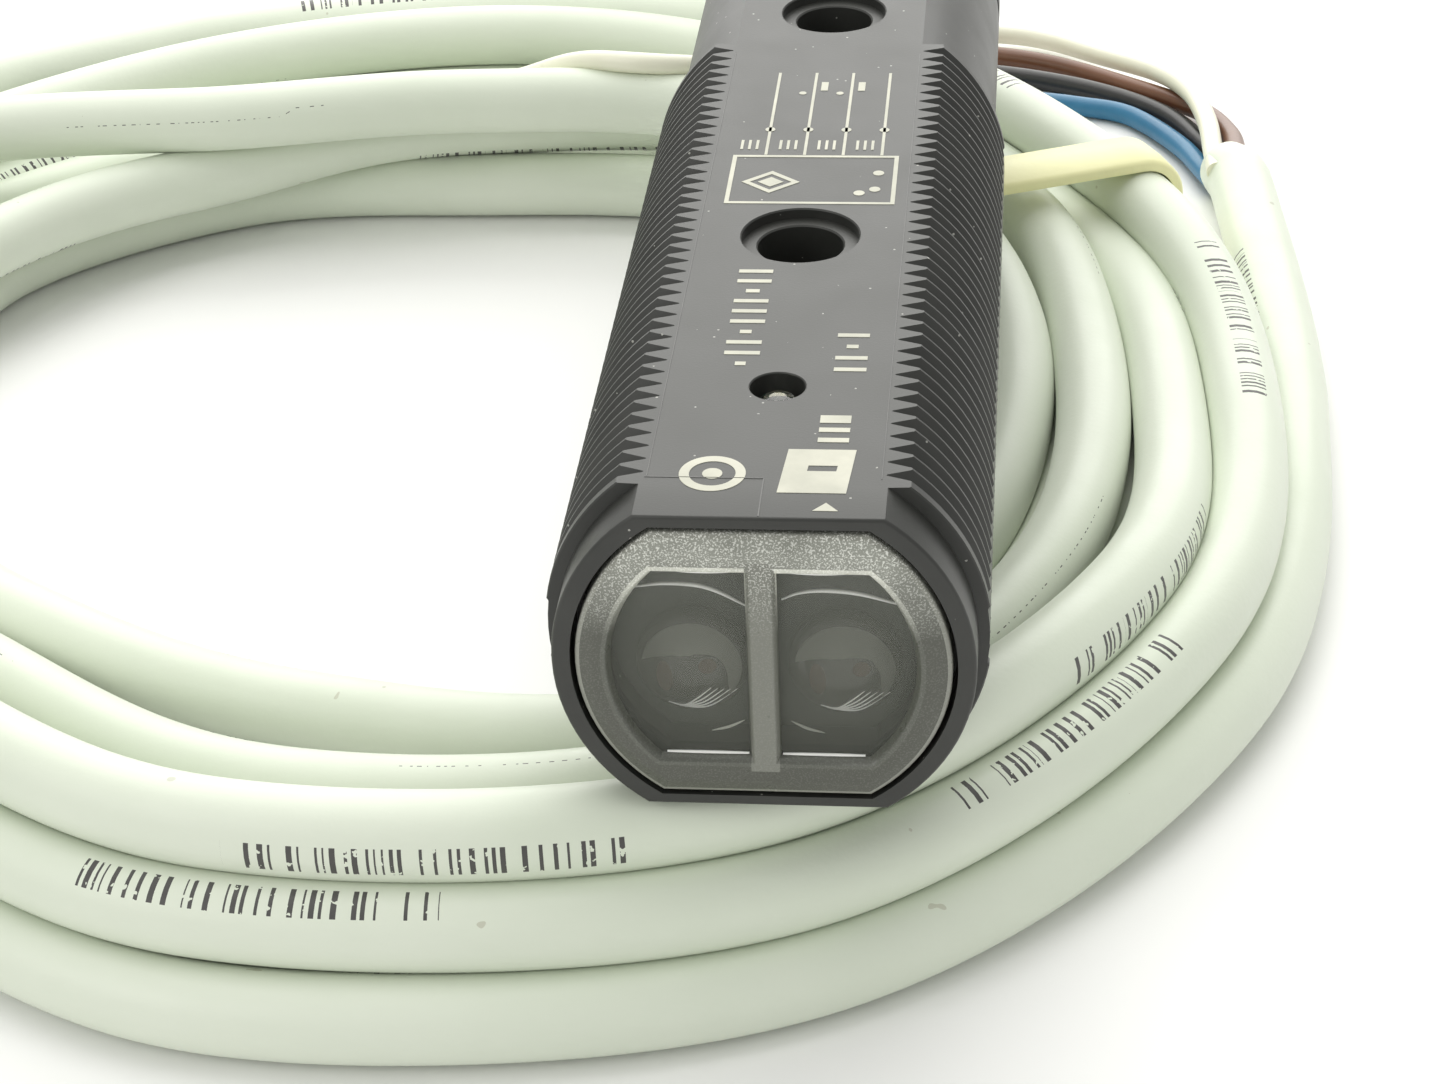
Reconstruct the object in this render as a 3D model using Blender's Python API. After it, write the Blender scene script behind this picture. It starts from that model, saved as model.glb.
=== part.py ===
"""Flat-sided M18 photoelectric sensor with two mounting holes, lying on its own coiled cable.

Everything is modelled in metres from the sensor's front face: +Y runs back along the sensor,
+X is its right side and +Z is up. The frame empty then moves the middle of the sensor to the
world's origin. The cable's coil lies under the sensor, and the floor is FLOOR_Z.
"""

import math

import bmesh
import bpy
from mathutils import Vector

for leftover in list(bpy.data.objects):
    bpy.data.objects.remove(leftover, do_unlink=True)

# Gaps
GAP = 0.0003

# Housing: a round body with a flat top and bottom
FLAT_HALF = 0.0069
CREST_RADIUS = 0.0090
ROOT_RADIUS = 0.00839
COLLAR_RADIUS = 0.00845
REAR_RADIUS = 0.00835
BAND_RADIUS = 0.0089
BAND_ANGLE = math.radians(8.2)
BAND_STEP_ANGLE = math.radians(1.2)
SIDE_STEPS = 3
RIM_BREAK = 0.00015
THREAD_START = 0.00245
FIRST_ROOT = 0.00335
PITCH = 0.001
GROOVE_COUNT = 42
GROOVE_HALF = 0.00044
THREAD_END = 0.0452
WALL_LEAN = 0.00005
HOUSING_LENGTH = 0.0640
CAVITY_RADIUS = 0.0070
CAVITY_HALF = 0.0055
SEAT_RADIUS = 0.0077
SEAT_HALF = 0.0064
SEAT_DEPTH = 0.00225

# Mounting holes, on the centreline through both flats
HOLE_FIRST_Y = 0.02395
HOLE_SPACING = 0.0254
BORE_RADIUS = 0.00193
COUNTERBORE_RADIUS = 0.00265
COUNTERBORE_DEPTH = 0.0005
BOSS_RADIUS = 0.00315
BOSS_HALF = 0.0062

# Front window and optics
LENS_PROUD = 0.00025
COVER_RADIUS = SEAT_RADIUS - 0.0002
COVER_HALF = SEAT_HALF - 0.0002
COVER_BACK = 0.00125
COVER_BEVEL = 0.0003
WINDOW_RADIUS = 0.00612
WINDOW_HALF = 0.00443
WINDOW_DEPTH = 0.00040
BAR_WIDTH = 0.00116
GASKET_FRONT = 0.00150
GASKET_BACK = 0.00200
GASKET_INNER_RADIUS = 0.0066
GASKET_INNER_HALF = 0.0052
OPTIC_X = 0.0031
OPTIC_Z = -0.0015
DOME_RADIUS = 0.0023
DOME_TOP = 0.00155
DOME_EDGE = 0.00230
DOME_BACK = 0.00300
DOME_STEPS = 5
BARRIER_WIDTH = 0.0007
BARRIER_HALF = 0.0043
HOLDER_FRONT = DOME_BACK + GAP
HOLDER_BACK = 0.0110
HOLDER_RADIUS = 0.0067
HOLDER_HALF = 0.0052
HOLDER_TOP = 0.0024
HOLDER_BORE = 0.0019
DIODE_RADIUS = 0.0015
DIODE_TOP = 0.0080
DIODE_FLANGE_RADIUS = 0.0016
DIODE_FLANGE_FRONT = HOLDER_BACK + GAP
DIODE_BACK = 0.0128

# Circuit board and what is on it
BOARD_FRONT = 0.0075
BOARD_BACK = 0.0580
BOARD_HALF_WIDTH = 0.0055
BOARD_BOTTOM = 0.0029
BOARD_TOP = 0.0039
BOARD_HOLE_RADIUS = BOSS_RADIUS + 0.00035
INDICATOR_Y = 0.01025
INDICATOR_HOLE_RADIUS = 0.00115
INDICATOR_RADIUS = 0.00092
INDICATOR_BOTTOM = 0.0052
INDICATOR_SHOULDER = 0.0061
INDICATOR_TOP = 0.0064

# Sensitivity adjuster
ADJUSTER_X = 0.0043
ADJUSTER_Z = 0.0003
ADJUSTER_BODY = (0.0040, 0.0044, 0.0042)
ADJUSTER_BODY_FRONT = 0.0546
ADJUSTER_SOCKET_RADIUS = 0.00115
ADJUSTER_SOCKET_DEPTH = 0.0020
SHAFT_RADIUS = 0.0009
SHAFT_FRONT = 0.0573
HEAD_RADIUS = 0.00145
HEAD_FRONT = 0.0674
HEAD_BACK = 0.0693
SLOT_WIDTH = 0.0005
SLOT_DEPTH = 0.0008

# Rear cap, seal, strain relief and the cable inside them
BODY_LENGTH = 0.0700
PLUG_FRONT = 0.0600
PLUG_RADIUS = 0.0067
PLUG_HALF = 0.0052
SEAL_THICKNESS = 0.0005
FLANGE_FRONT = HOUSING_LENGTH + SEAL_THICKNESS + 2 * GAP
CABLE_X = -0.0026
CABLE_DIAMETER = 0.0039
BOOT_NECK_RADIUS = 0.00265
BOOT_BORE_RADIUS = CABLE_DIAMETER / 2 + GAP
BOOT_FRONT = 0.0620
BOOT_LENGTH = 0.0090
BOOT_BACK = BODY_LENGTH + BOOT_LENGTH
STUB_FRONT = 0.0596
INNER_LEAD_DIAMETER = 0.0009

# The middle of the sensor, from its proud window to the end of its strain relief
CENTRE_Y = (BOOT_BACK - LENS_PROUD) / 2

# The coil: a neat ring three layers of cable high, with the sensor resting on it
LAYERS = 3
COIL_X = -0.0240
COIL_Y = 0.0445
COIL_OUTER = 0.0468
COIL_INNER = 0.0270
COIL_TOP = -FLAT_HALF - GAP
FLOOR_Z = -FLAT_HALF - CABLE_DIAMETER * (1 + (LAYERS - 1) * math.sqrt(3) / 2)
LANE_Z = FLOOR_Z + CABLE_DIAMETER / 2
COIL_STEPS = 56
TIE_ANGLE = math.radians(27)
TIE_WIDTH = 0.0040
TIE_THICKNESS = 0.0008

# The loose stretches, as points that a smooth curve runs through
CABLE_RUN = [
    (CABLE_X, BOOT_BACK + GAP, 0.0),
    (CABLE_X, 0.0862, -0.0003),
    (-0.0055, 0.0938, -0.0023),
    (-0.0130, 0.0995, -0.0062),
    (-0.0240, 0.1008, -0.0106),
    (-0.0345, 0.0980, -0.0139),
    (-0.0435, 0.0925, LANE_Z),
    (-0.0515, 0.0862, LANE_Z),
]
TAIL_RADIUS = COIL_OUTER + GAP + CABLE_DIAMETER / 2
TAIL_ARC = (math.radians(-118), math.radians(-12))
TAIL_ARC_POINTS = 9
TAIL_END = [
    (0.0249, 0.0450, LANE_Z),
    (0.0256, 0.0560, LANE_Z),
    (0.0245, 0.0680, LANE_Z),
    (0.0224, 0.0783, LANE_Z),
]
CONDUCTOR_DIAMETER = 0.0013
BARE_Z = FLOOR_Z + CONDUCTOR_DIAMETER / 2
ON_COIL_Z = COIL_TOP + GAP + CONDUCTOR_DIAMETER / 2
CONDUCTOR_RUNS = {
    "white": [
        (0.0217, 0.0787, -0.0149),
        (0.0215, 0.0840, -0.0149),
        (0.0206, 0.0888, -0.0150),
        (0.0184, 0.0934, -0.0154),
        (0.0149, 0.0973, -0.0163),
        (0.0115, 0.1002, BARE_Z),
        (0.0081, 0.1012, BARE_Z),
        (0.0030, 0.1008, BARE_Z),
        (-0.0015, 0.0983, -0.0140),
        (-0.0042, 0.0943, -0.0098),
        (-0.0052, 0.0903, -0.0065),
        (-0.0058, 0.0840, ON_COIL_Z),
        (-0.0070, 0.0775, ON_COIL_Z),
        (-0.0105, 0.0734, ON_COIL_Z),
        (-0.0155, 0.0735, ON_COIL_Z),
        (-0.0210, 0.0780, ON_COIL_Z),
        (-0.0252, 0.0845, ON_COIL_Z),
    ],
    "brown": [
        (0.0231, 0.0787, -0.0149),
        (0.0229, 0.0835, -0.0160),
        (0.0212, 0.0886, BARE_Z),
        (0.0166, 0.0932, BARE_Z),
        (0.0112, 0.0970, BARE_Z),
        (0.0050, 0.0988, BARE_Z),
        (-0.0010, 0.0988, BARE_Z),
    ],
    "black": [
        (0.0229, 0.0787, -0.0164),
        (0.0214, 0.0836, BARE_Z),
        (0.0190, 0.0886, BARE_Z),
        (0.0146, 0.0924, BARE_Z),
        (0.0085, 0.0950, BARE_Z),
        (0.0015, 0.0960, BARE_Z),
        (-0.0055, 0.0956, BARE_Z),
    ],
    "blue": [
        (0.0214, 0.0787, -0.0164),
        (0.0198, 0.0836, BARE_Z),
        (0.0168, 0.0884, BARE_Z),
        (0.0135, 0.0900, BARE_Z),
        (0.0100, 0.0909, BARE_Z),
        (0.0050, 0.0916, BARE_Z),
        (0.0000, 0.0920, BARE_Z),
    ],
}


# Materials


def material(name, colour, roughness, metallic=0.0, alpha=1.0):
    made = bpy.data.materials.new(name)
    made.use_nodes = True
    shader = made.node_tree.nodes["Principled BSDF"]
    shader.inputs["Base Color"].default_value = (*colour, 1.0)
    shader.inputs["Roughness"].default_value = roughness
    shader.inputs["Metallic"].default_value = metallic
    shader.inputs["Alpha"].default_value = alpha
    return made


HOUSING_PLASTIC = material("housing_plastic", (0.030, 0.031, 0.032), 0.50)
CAP_PLASTIC = material("cap_plastic", (0.026, 0.027, 0.028), 0.45)
CLEAR_COVER = material("clear_cover", (0.82, 0.84, 0.83), 0.08, alpha=0.35)
CLEAR_LENS = material("clear_lens", (0.70, 0.72, 0.72), 0.05, alpha=0.45)
CLEAR_LIGHT_GUIDE = material("clear_light_guide", (0.80, 0.82, 0.80), 0.08, alpha=0.45)
SEAL_RUBBER = material("seal_rubber", (0.020, 0.020, 0.020), 0.80)
HOLDER_PLASTIC = material("holder_plastic", (0.018, 0.018, 0.019), 0.60)
BARRIER_PLASTIC = material("barrier_plastic", (0.040, 0.040, 0.042), 0.60)
DIODE_RESIN = material("diode_resin", (0.20, 0.06, 0.05), 0.15)
BOARD_LAMINATE = material("board_laminate", (0.020, 0.160, 0.070), 0.45)
CHIP_EPOXY = material("chip_epoxy", (0.022, 0.022, 0.024), 0.40)
SHIELD_TIN = material("shield_tin", (0.66, 0.66, 0.64), 0.30, metallic=1.0)
CAPACITOR_SLEEVE = material("capacitor_sleeve", (0.030, 0.050, 0.140), 0.35)
INDICATOR_PACKAGE = material("indicator_package", (0.85, 0.80, 0.55), 0.35)
ADJUSTER_CASE = material("adjuster_case", (0.035, 0.100, 0.300), 0.40)
ADJUSTER_NYLON = material("adjuster_nylon", (0.780, 0.760, 0.700), 0.45)
CABLE_JACKET = material("cable_jacket", (0.640, 0.700, 0.600), 0.42)
TIE_BAND = material("tie_band", (0.820, 0.800, 0.480), 0.50)
CONDUCTOR_JACKETS = {
    "white": material("conductor_white", (0.800, 0.790, 0.720), 0.40),
    "brown": material("conductor_brown", (0.170, 0.070, 0.035), 0.40),
    "black": material("conductor_black", (0.025, 0.024, 0.024), 0.40),
    "blue": material("conductor_blue", (0.030, 0.170, 0.330), 0.40),
}


# Outlines, as (x, z) points that run round the sensor's axis


def side_angles(edge):
    """Angles up one round side, with the smooth band in the middle of it."""
    start = BAND_ANGLE + BAND_STEP_ANGLE
    upper = [start + (edge - start) * i / SIDE_STEPS for i in range(SIDE_STEPS + 1)]
    upper.insert(0, BAND_ANGLE)
    return [-angle for angle in reversed(upper)] + upper


def flat_sided(radius, half, band_radius=None):
    """A circle cut flat above and below. The middle of each side may have its own radius."""
    edge = math.asin(half / radius)
    points = []
    for turn in (0.0, math.pi):
        for angle in side_angles(edge):
            in_band = abs(angle) <= BAND_ANGLE + 1e-9
            reach = band_radius if in_band and band_radius else radius
            points.append((reach * math.cos(angle + turn), reach * math.sin(angle + turn)))
    return points


def half_window(side):
    """One of the two windows: the flat-sided outline, up to the bar."""
    points = [p for p in flat_sided(WINDOW_RADIUS, WINDOW_HALF) if p[0] * side > 0]
    edge = side * BAR_WIDTH / 2
    return points + [(edge, side * WINDOW_HALF), (edge, -side * WINDOW_HALF)]


# Shapes, each added to a bmesh so that one object can hold several


def add_loft(bm, sections):
    """A closed body through (y, outline) sections that have the same number of points."""
    rings = [[bm.verts.new((x, y, z)) for x, z in outline] for y, outline in sections]
    bm.faces.new(rings[0])
    bm.faces.new(reversed(rings[-1]))
    for near, far in zip(rings, rings[1:]):
        for i, corner in enumerate(near):
            after = (i + 1) % len(near)
            bm.faces.new((corner, far[i], far[after], near[after]))


def add_turned(bm, profile, centre, axis, steps, closed_profile=False):
    """A body turned round the Y or Z axis through centre, from (radius, height) pairs."""
    rings = []
    for radius, height in profile:
        ring = []
        for i in range(1 if radius == 0 else steps):
            turn = 2 * math.pi * i / steps
            across, beside = radius * math.cos(turn), radius * math.sin(turn)
            place = (beside, height, across) if axis == "Y" else (across, beside, height)
            ring.append(bm.verts.new(Vector(centre) + Vector(place)))
        rings.append(ring)
    pairs = list(zip(rings, rings[1:]))
    if closed_profile:
        pairs.append((rings[-1], rings[0]))
    else:
        for ring in (rings[0], rings[-1]):
            if len(ring) > 1:
                bm.faces.new(ring)
    for low, high in pairs:
        for i in range(steps):
            after = (i + 1) % steps
            corners = [low[i % len(low)], low[after % len(low)]]
            corners += [high[after % len(high)], high[i % len(high)]]
            bm.faces.new(list(dict.fromkeys(corners)))


def add_box(bm, low, high):
    corners = [
        bm.verts.new((x, y, z))
        for x in (low[0], high[0])
        for y in (low[1], high[1])
        for z in (low[2], high[2])
    ]
    for face in ((0, 1, 3, 2), (4, 6, 7, 5), (0, 4, 5, 1), (2, 3, 7, 6), (0, 2, 6, 4), (1, 5, 7, 3)):
        bm.faces.new([corners[i] for i in face])


def add_band(bm, inner, outer, width):
    """A rectangular band round the Y axis: inner and outer are its (x, z) half sizes."""
    rings = []
    for half_x, half_z in (inner, outer):
        for y in (-width / 2, width / 2):
            signs = ((1, 1), (-1, 1), (-1, -1), (1, -1))
            rings.append([bm.verts.new((half_x * i, y, half_z * j)) for i, j in signs])
    for near, far in ((0, 1), (1, 3), (3, 2), (2, 0)):
        for i in range(4):
            after = (i + 1) % 4
            bm.faces.new((rings[near][i], rings[near][after], rings[far][after], rings[far][i]))


# Objects


def empty(name, location, parent=None):
    made = bpy.data.objects.new(name, None)
    made.location = location
    made.parent = parent
    bpy.context.collection.objects.link(made)
    return made


FRAME = empty("front_face", (0, -CENTRE_Y, 0))


def add_object(name, bm, finish=None, location=(0, 0, 0), smooth=True, parent=FRAME):
    bmesh.ops.triangulate(bm, faces=bm.faces)
    bmesh.ops.recalc_face_normals(bm, faces=bm.faces)
    mesh = bpy.data.meshes.new(name)
    bm.to_mesh(mesh)
    bm.free()
    if finish:
        mesh.materials.append(finish)
    if smooth:
        mesh.shade_smooth()
        mesh.set_sharp_from_angle(angle=math.radians(32))
    made = bpy.data.objects.new(name, mesh)
    made.location = location
    made.parent = parent
    bpy.context.collection.objects.link(made)
    return made


def boolean(target, tool, operation="DIFFERENCE"):
    modifier = target.modifiers.new(tool.name, "BOOLEAN")
    modifier.operation = operation
    modifier.solver = "EXACT"
    modifier.object = tool


def helper(name, bm, location=(0, 0, 0)):
    """A cutter, or a shape that is joined to a part: it is never a part of its own."""
    made = add_object(name, bm, location=location, smooth=False)
    made.hide_render = True
    made.display_type = "WIRE"
    return made


def turned(name, finish, profile, centre=(0, 0, 0), axis="Y", steps=32, closed_profile=False):
    bm = bmesh.new()
    add_turned(bm, profile, (0, 0, 0), axis, steps, closed_profile)
    return add_object(name, bm, finish, location=centre)


def box(name, finish, low, high):
    """A box that has its own middle as its origin."""
    middle = [(a + b) / 2 for a, b in zip(low, high)]
    half = [(b - a) / 2 for a, b in zip(low, high)]
    bm = bmesh.new()
    add_box(bm, [-size for size in half], half)
    return add_object(name, bm, finish, location=middle, smooth=False)


def smooth_path(points, spacing):
    """Evenly spaced points on the smooth curve through points."""
    ends = [points[0] * 2 - points[1]] + points + [points[-1] * 2 - points[-2]]
    dense = []
    for before, start, end, after in zip(ends, ends[1:], ends[2:], ends[3:]):
        for i in range(24):
            t = i / 24
            dense.append(
                start
                + (end - before) * (t / 2)
                + (before * 2 - start * 5 + end * 4 - after) * (t * t / 2)
                + (start * 3 - before - end * 3 + after) * (t * t * t / 2)
            )
    dense.append(points[-1])
    reached = [0.0]
    for one, other in zip(dense, dense[1:]):
        reached.append(reached[-1] + (other - one).length)
    count = max(2, round(reached[-1] / spacing))
    path = []
    at = 0
    for i in range(count + 1):
        wanted = reached[-1] * i / count
        while at < len(dense) - 2 and reached[at + 1] < wanted:
            at += 1
        share = (wanted - reached[at]) / (reached[at + 1] - reached[at])
        path.append(dense[at].lerp(dense[at + 1], share))
    return path


def tube(name, finish, points, diameter, spacing):
    curve = bpy.data.curves.new(name, "CURVE")
    curve.dimensions = "3D"
    curve.bevel_depth = diameter / 2
    curve.bevel_resolution = 2
    curve.use_fill_caps = True
    curve.materials.append(finish)
    path = smooth_path([Vector(point) for point in points], spacing)
    spline = curve.splines.new("POLY")
    spline.points.add(len(path) - 1)
    spline.use_smooth = True
    for target, place in zip(spline.points, path):
        target.co = (*place, 1.0)
    made = bpy.data.objects.new(name, curve)
    made.parent = FRAME
    bpy.context.collection.objects.link(made)
    return made


# Housing


def thread_sections():
    """The thread as rings of even pitch, which the flats and the side bands interrupt."""
    crest = flat_sided(CREST_RADIUS, FLAT_HALF, BAND_RADIUS)
    root = flat_sided(ROOT_RADIUS, FLAT_HALF, BAND_RADIUS)
    sections = [(THREAD_START, crest)]
    for i in range(GROOVE_COUNT):
        middle = FIRST_ROOT + i * PITCH
        sections += [(middle - GROOVE_HALF, crest), (middle, root), (middle + GROOVE_HALF, crest)]
    return sections + [(THREAD_END, crest)]


def housing():
    collar = flat_sided(COLLAR_RADIUS, FLAT_HALF)
    rear = flat_sided(REAR_RADIUS, FLAT_HALF)
    bm = bmesh.new()
    add_loft(
        bm,
        [(0.0, flat_sided(COLLAR_RADIUS - RIM_BREAK, FLAT_HALF - RIM_BREAK)), (RIM_BREAK, collar)]
        + [(THREAD_START - WALL_LEAN, collar)]
        + thread_sections()
        + [(THREAD_END + WALL_LEAN, rear), (HOUSING_LENGTH, rear)],
    )
    made = add_object("housing", bm, HOUSING_PLASTIC)

    seat = flat_sided(SEAT_RADIUS, SEAT_HALF)
    cavity = flat_sided(CAVITY_RADIUS, CAVITY_HALF)
    past = 0.001
    bm = bmesh.new()
    add_loft(
        bm,
        [(-past, seat), (SEAT_DEPTH, seat), (SEAT_DEPTH, cavity), (HOUSING_LENGTH + past, cavity)],
    )
    boolean(made, helper("cavity_cutter", bm))

    bm = bmesh.new()
    for i in range(2):
        hole = (0, HOLE_FIRST_Y + i * HOLE_SPACING, 0)
        add_turned(bm, [(BOSS_RADIUS, -BOSS_HALF), (BOSS_RADIUS, BOSS_HALF)], hole, "Z", 32)
    boolean(made, helper("boss_shapes", bm), "UNION")

    ledge = FLAT_HALF - COUNTERBORE_DEPTH
    top = FLAT_HALF + past
    stepped = [
        (COUNTERBORE_RADIUS, -top),
        (COUNTERBORE_RADIUS, -ledge),
        (BORE_RADIUS, -ledge),
        (BORE_RADIUS, ledge),
        (COUNTERBORE_RADIUS, ledge),
        (COUNTERBORE_RADIUS, top),
    ]
    bm = bmesh.new()
    for i in range(2):
        add_turned(bm, stepped, (0, HOLE_FIRST_Y + i * HOLE_SPACING, 0), "Z", 32)
    opening = [(INDICATOR_HOLE_RADIUS, CAVITY_HALF - past / 2), (INDICATOR_HOLE_RADIUS, top)]
    add_turned(bm, opening, (0, INDICATOR_Y, 0), "Z", 24)
    boolean(made, helper("hole_cutters", bm))


# Front window and optics


def flat_sided_ring(name, finish, outer, inner, front, back):
    """A flat-sided plate with a flat-sided opening: outer and inner are (radius, half)."""
    bm = bmesh.new()
    add_loft(bm, [(front, flat_sided(*outer)), (back, flat_sided(*outer))])
    made = add_object(name, bm, finish)
    bm = bmesh.new()
    add_loft(bm, [(front - GAP, flat_sided(*inner)), (back + GAP, flat_sided(*inner))])
    boolean(made, helper(name + "_cutter", bm))


def front_window():
    face = flat_sided(COVER_RADIUS - COVER_BEVEL, COVER_HALF - COVER_BEVEL)
    side = flat_sided(COVER_RADIUS, COVER_HALF)
    bm = bmesh.new()
    add_loft(bm, [(-LENS_PROUD, face), (COVER_BEVEL - LENS_PROUD, side), (COVER_BACK, side)])
    made = add_object("front_window", bm, CLEAR_COVER)
    bm = bmesh.new()
    for side_sign in (1, -1):
        outline = half_window(side_sign)
        add_loft(bm, [(-0.001, outline), (WINDOW_DEPTH - LENS_PROUD, outline)])
    boolean(made, helper("window_cutters", bm))
    flat_sided_ring(
        "window_seal",
        SEAL_RUBBER,
        (COVER_RADIUS - GAP, COVER_HALF - GAP),
        (GASKET_INNER_RADIUS, GASKET_INNER_HALF),
        GASKET_FRONT,
        GASKET_BACK,
    )


def dome_profile():
    """A domed lens with a short rim: a shallow spherical cap on a disc."""
    profile = [(0.0, DOME_TOP)]
    for i in range(1, DOME_STEPS + 1):
        share = i / DOME_STEPS
        height = DOME_TOP + (DOME_EDGE - DOME_TOP) * share * share
        profile.append((DOME_RADIUS * share, height))
    return profile + [(DOME_RADIUS, DOME_BACK)]


def diode_profile():
    shoulder = DIODE_TOP + DIODE_RADIUS
    profile = [(0.0, DIODE_TOP)]
    for i in range(1, DOME_STEPS + 1):
        angle = math.pi / 2 * i / DOME_STEPS
        profile.append((DIODE_RADIUS * math.sin(angle), shoulder - DIODE_RADIUS * math.cos(angle)))
    profile.append((DIODE_RADIUS, DIODE_FLANGE_FRONT))
    return profile + [(DIODE_FLANGE_RADIUS, DIODE_FLANGE_FRONT), (DIODE_FLANGE_RADIUS, DIODE_BACK)]


def optics():
    for name, side in (("emitter", -1), ("receiver", 1)):
        centre = (side * OPTIC_X, 0, OPTIC_Z)
        turned(name + "_lens", CLEAR_LENS, dome_profile(), centre)
        turned(name + "_diode", DIODE_RESIN, diode_profile(), centre, steps=24)
    half = BARRIER_WIDTH / 2
    low = (-half, COVER_BACK + GAP, -BARRIER_HALF)
    box("light_barrier", BARRIER_PLASTIC, low, (half, DOME_BACK, BARRIER_HALF))

    outline = flat_sided(HOLDER_RADIUS, HOLDER_HALF)
    bm = bmesh.new()
    add_loft(bm, [(HOLDER_FRONT, outline), (HOLDER_BACK, outline)])
    made = add_object("optics_holder", bm, HOLDER_PLASTIC)
    bm = bmesh.new()
    add_box(
        bm,
        (-CREST_RADIUS, HOLDER_FRONT - GAP, HOLDER_TOP),
        (CREST_RADIUS, HOLDER_BACK + GAP, CREST_RADIUS),
    )
    for side in (1, -1):
        ends = [(HOLDER_BORE, HOLDER_FRONT - GAP), (HOLDER_BORE, HOLDER_BACK + GAP)]
        add_turned(bm, ends, (side * OPTIC_X, 0, OPTIC_Z), "Y", 24)
    boolean(made, helper("holder_cutters", bm))


# Circuit board


def circuit_board():
    made = box(
        "circuit_board",
        BOARD_LAMINATE,
        (-BOARD_HALF_WIDTH, BOARD_FRONT, BOARD_BOTTOM),
        (BOARD_HALF_WIDTH, BOARD_BACK, BOARD_TOP),
    )
    bm = bmesh.new()
    for i in range(2):
        hole = (0, HOLE_FIRST_Y + i * HOLE_SPACING, 0)
        ends = [(BOARD_HOLE_RADIUS, BOARD_BOTTOM - GAP), (BOARD_HOLE_RADIUS, BOARD_TOP + GAP)]
        add_turned(bm, ends, hole, "Z", 32)
    boolean(made, helper("board_hole_cutters", bm))


def board_part(name, finish, centre, size, above):
    """A part soldered on the board's upper or lower side: centre is (x, y)."""
    half_x, half_y = size[0] / 2, size[1] / 2
    bottom = BOARD_TOP + GAP if above else BOARD_BOTTOM - GAP - size[2]
    low = (centre[0] - half_x, centre[1] - half_y, bottom)
    box(name, finish, low, (centre[0] + half_x, centre[1] + half_y, bottom + size[2]))


def electronics():
    circuit_board()
    board_part("indicator_led", INDICATOR_PACKAGE, (0, INDICATOR_Y), (0.0016, 0.0008, 0.0006), True)
    board_part("receiver_shield", SHIELD_TIN, (0, 0.0169), (0.0092, 0.0066, 0.0028), False)
    board_part("processor_chip", CHIP_EPOXY, (0, 0.0320), (0.0050, 0.0050, 0.0009), True)
    board_part("driver_chip", CHIP_EPOXY, (0.0024, 0.0330), (0.0040, 0.0050, 0.0011), False)
    for side, name in ((-1, "left"), (1, "right")):
        centre = (side * 0.0022, 0.0436)
        board_part("output_transistor_" + name, CHIP_EPOXY, centre, (0.0016, 0.0029, 0.0011), False)
    radius = 0.0019
    bead = 0.0003
    length = 0.0070
    profile = [
        (radius - bead, 0.0),
        (radius, bead),
        (radius, length - bead),
        (radius - bead, length),
    ]
    centre = (-0.0026, 0.0290, BOARD_BOTTOM - GAP - radius)
    turned("filter_capacitor", CAPACITOR_SLEEVE, profile, centre, steps=20)
    guide = [
        (INDICATOR_RADIUS, INDICATOR_BOTTOM),
        (INDICATOR_RADIUS, INDICATOR_SHOULDER),
        (INDICATOR_RADIUS * 0.75, INDICATOR_TOP - 0.0001),
        (INDICATOR_RADIUS * 0.40, INDICATOR_TOP),
    ]
    turned("indicator_light_guide", CLEAR_LIGHT_GUIDE, guide, (0, INDICATOR_Y, 0), "Z", 24)


# Sensitivity adjuster


def adjuster():
    low = [
        ADJUSTER_X - ADJUSTER_BODY[0] / 2,
        ADJUSTER_BODY_FRONT,
        ADJUSTER_Z - ADJUSTER_BODY[2] / 2,
    ]
    case = box("adjuster_case", ADJUSTER_CASE, low, [a + b for a, b in zip(low, ADJUSTER_BODY)])
    back = ADJUSTER_BODY_FRONT + ADJUSTER_BODY[1]
    socket = [
        (ADJUSTER_SOCKET_RADIUS, back - ADJUSTER_SOCKET_DEPTH),
        (ADJUSTER_SOCKET_RADIUS, back + GAP),
    ]
    bm = bmesh.new()
    add_turned(bm, socket, (ADJUSTER_X, 0, ADJUSTER_Z), "Y", 20)
    boolean(case, helper("adjuster_socket_cutter", bm))

    axle = empty("adjuster_axis", (ADJUSTER_X, 0, ADJUSTER_Z), FRAME)
    bm = bmesh.new()
    profile = [
        (SHAFT_RADIUS, SHAFT_FRONT),
        (SHAFT_RADIUS, HEAD_FRONT),
        (HEAD_RADIUS, HEAD_FRONT),
        (HEAD_RADIUS, HEAD_BACK),
    ]
    add_turned(bm, profile, (0, 0, 0), "Y", 24)
    screw = add_object("adjuster_screw", bm, ADJUSTER_NYLON, parent=axle)
    bm = bmesh.new()
    add_box(
        bm,
        (-SLOT_WIDTH / 2, HEAD_BACK - SLOT_DEPTH, -HEAD_RADIUS * 2),
        (SLOT_WIDTH / 2, HEAD_BACK + GAP, HEAD_RADIUS * 2),
    )
    boolean(screw, helper("adjuster_slot_cutter", bm, (ADJUSTER_X, 0, ADJUSTER_Z)))


# Rear cap, strain relief and the cable inside them


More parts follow.
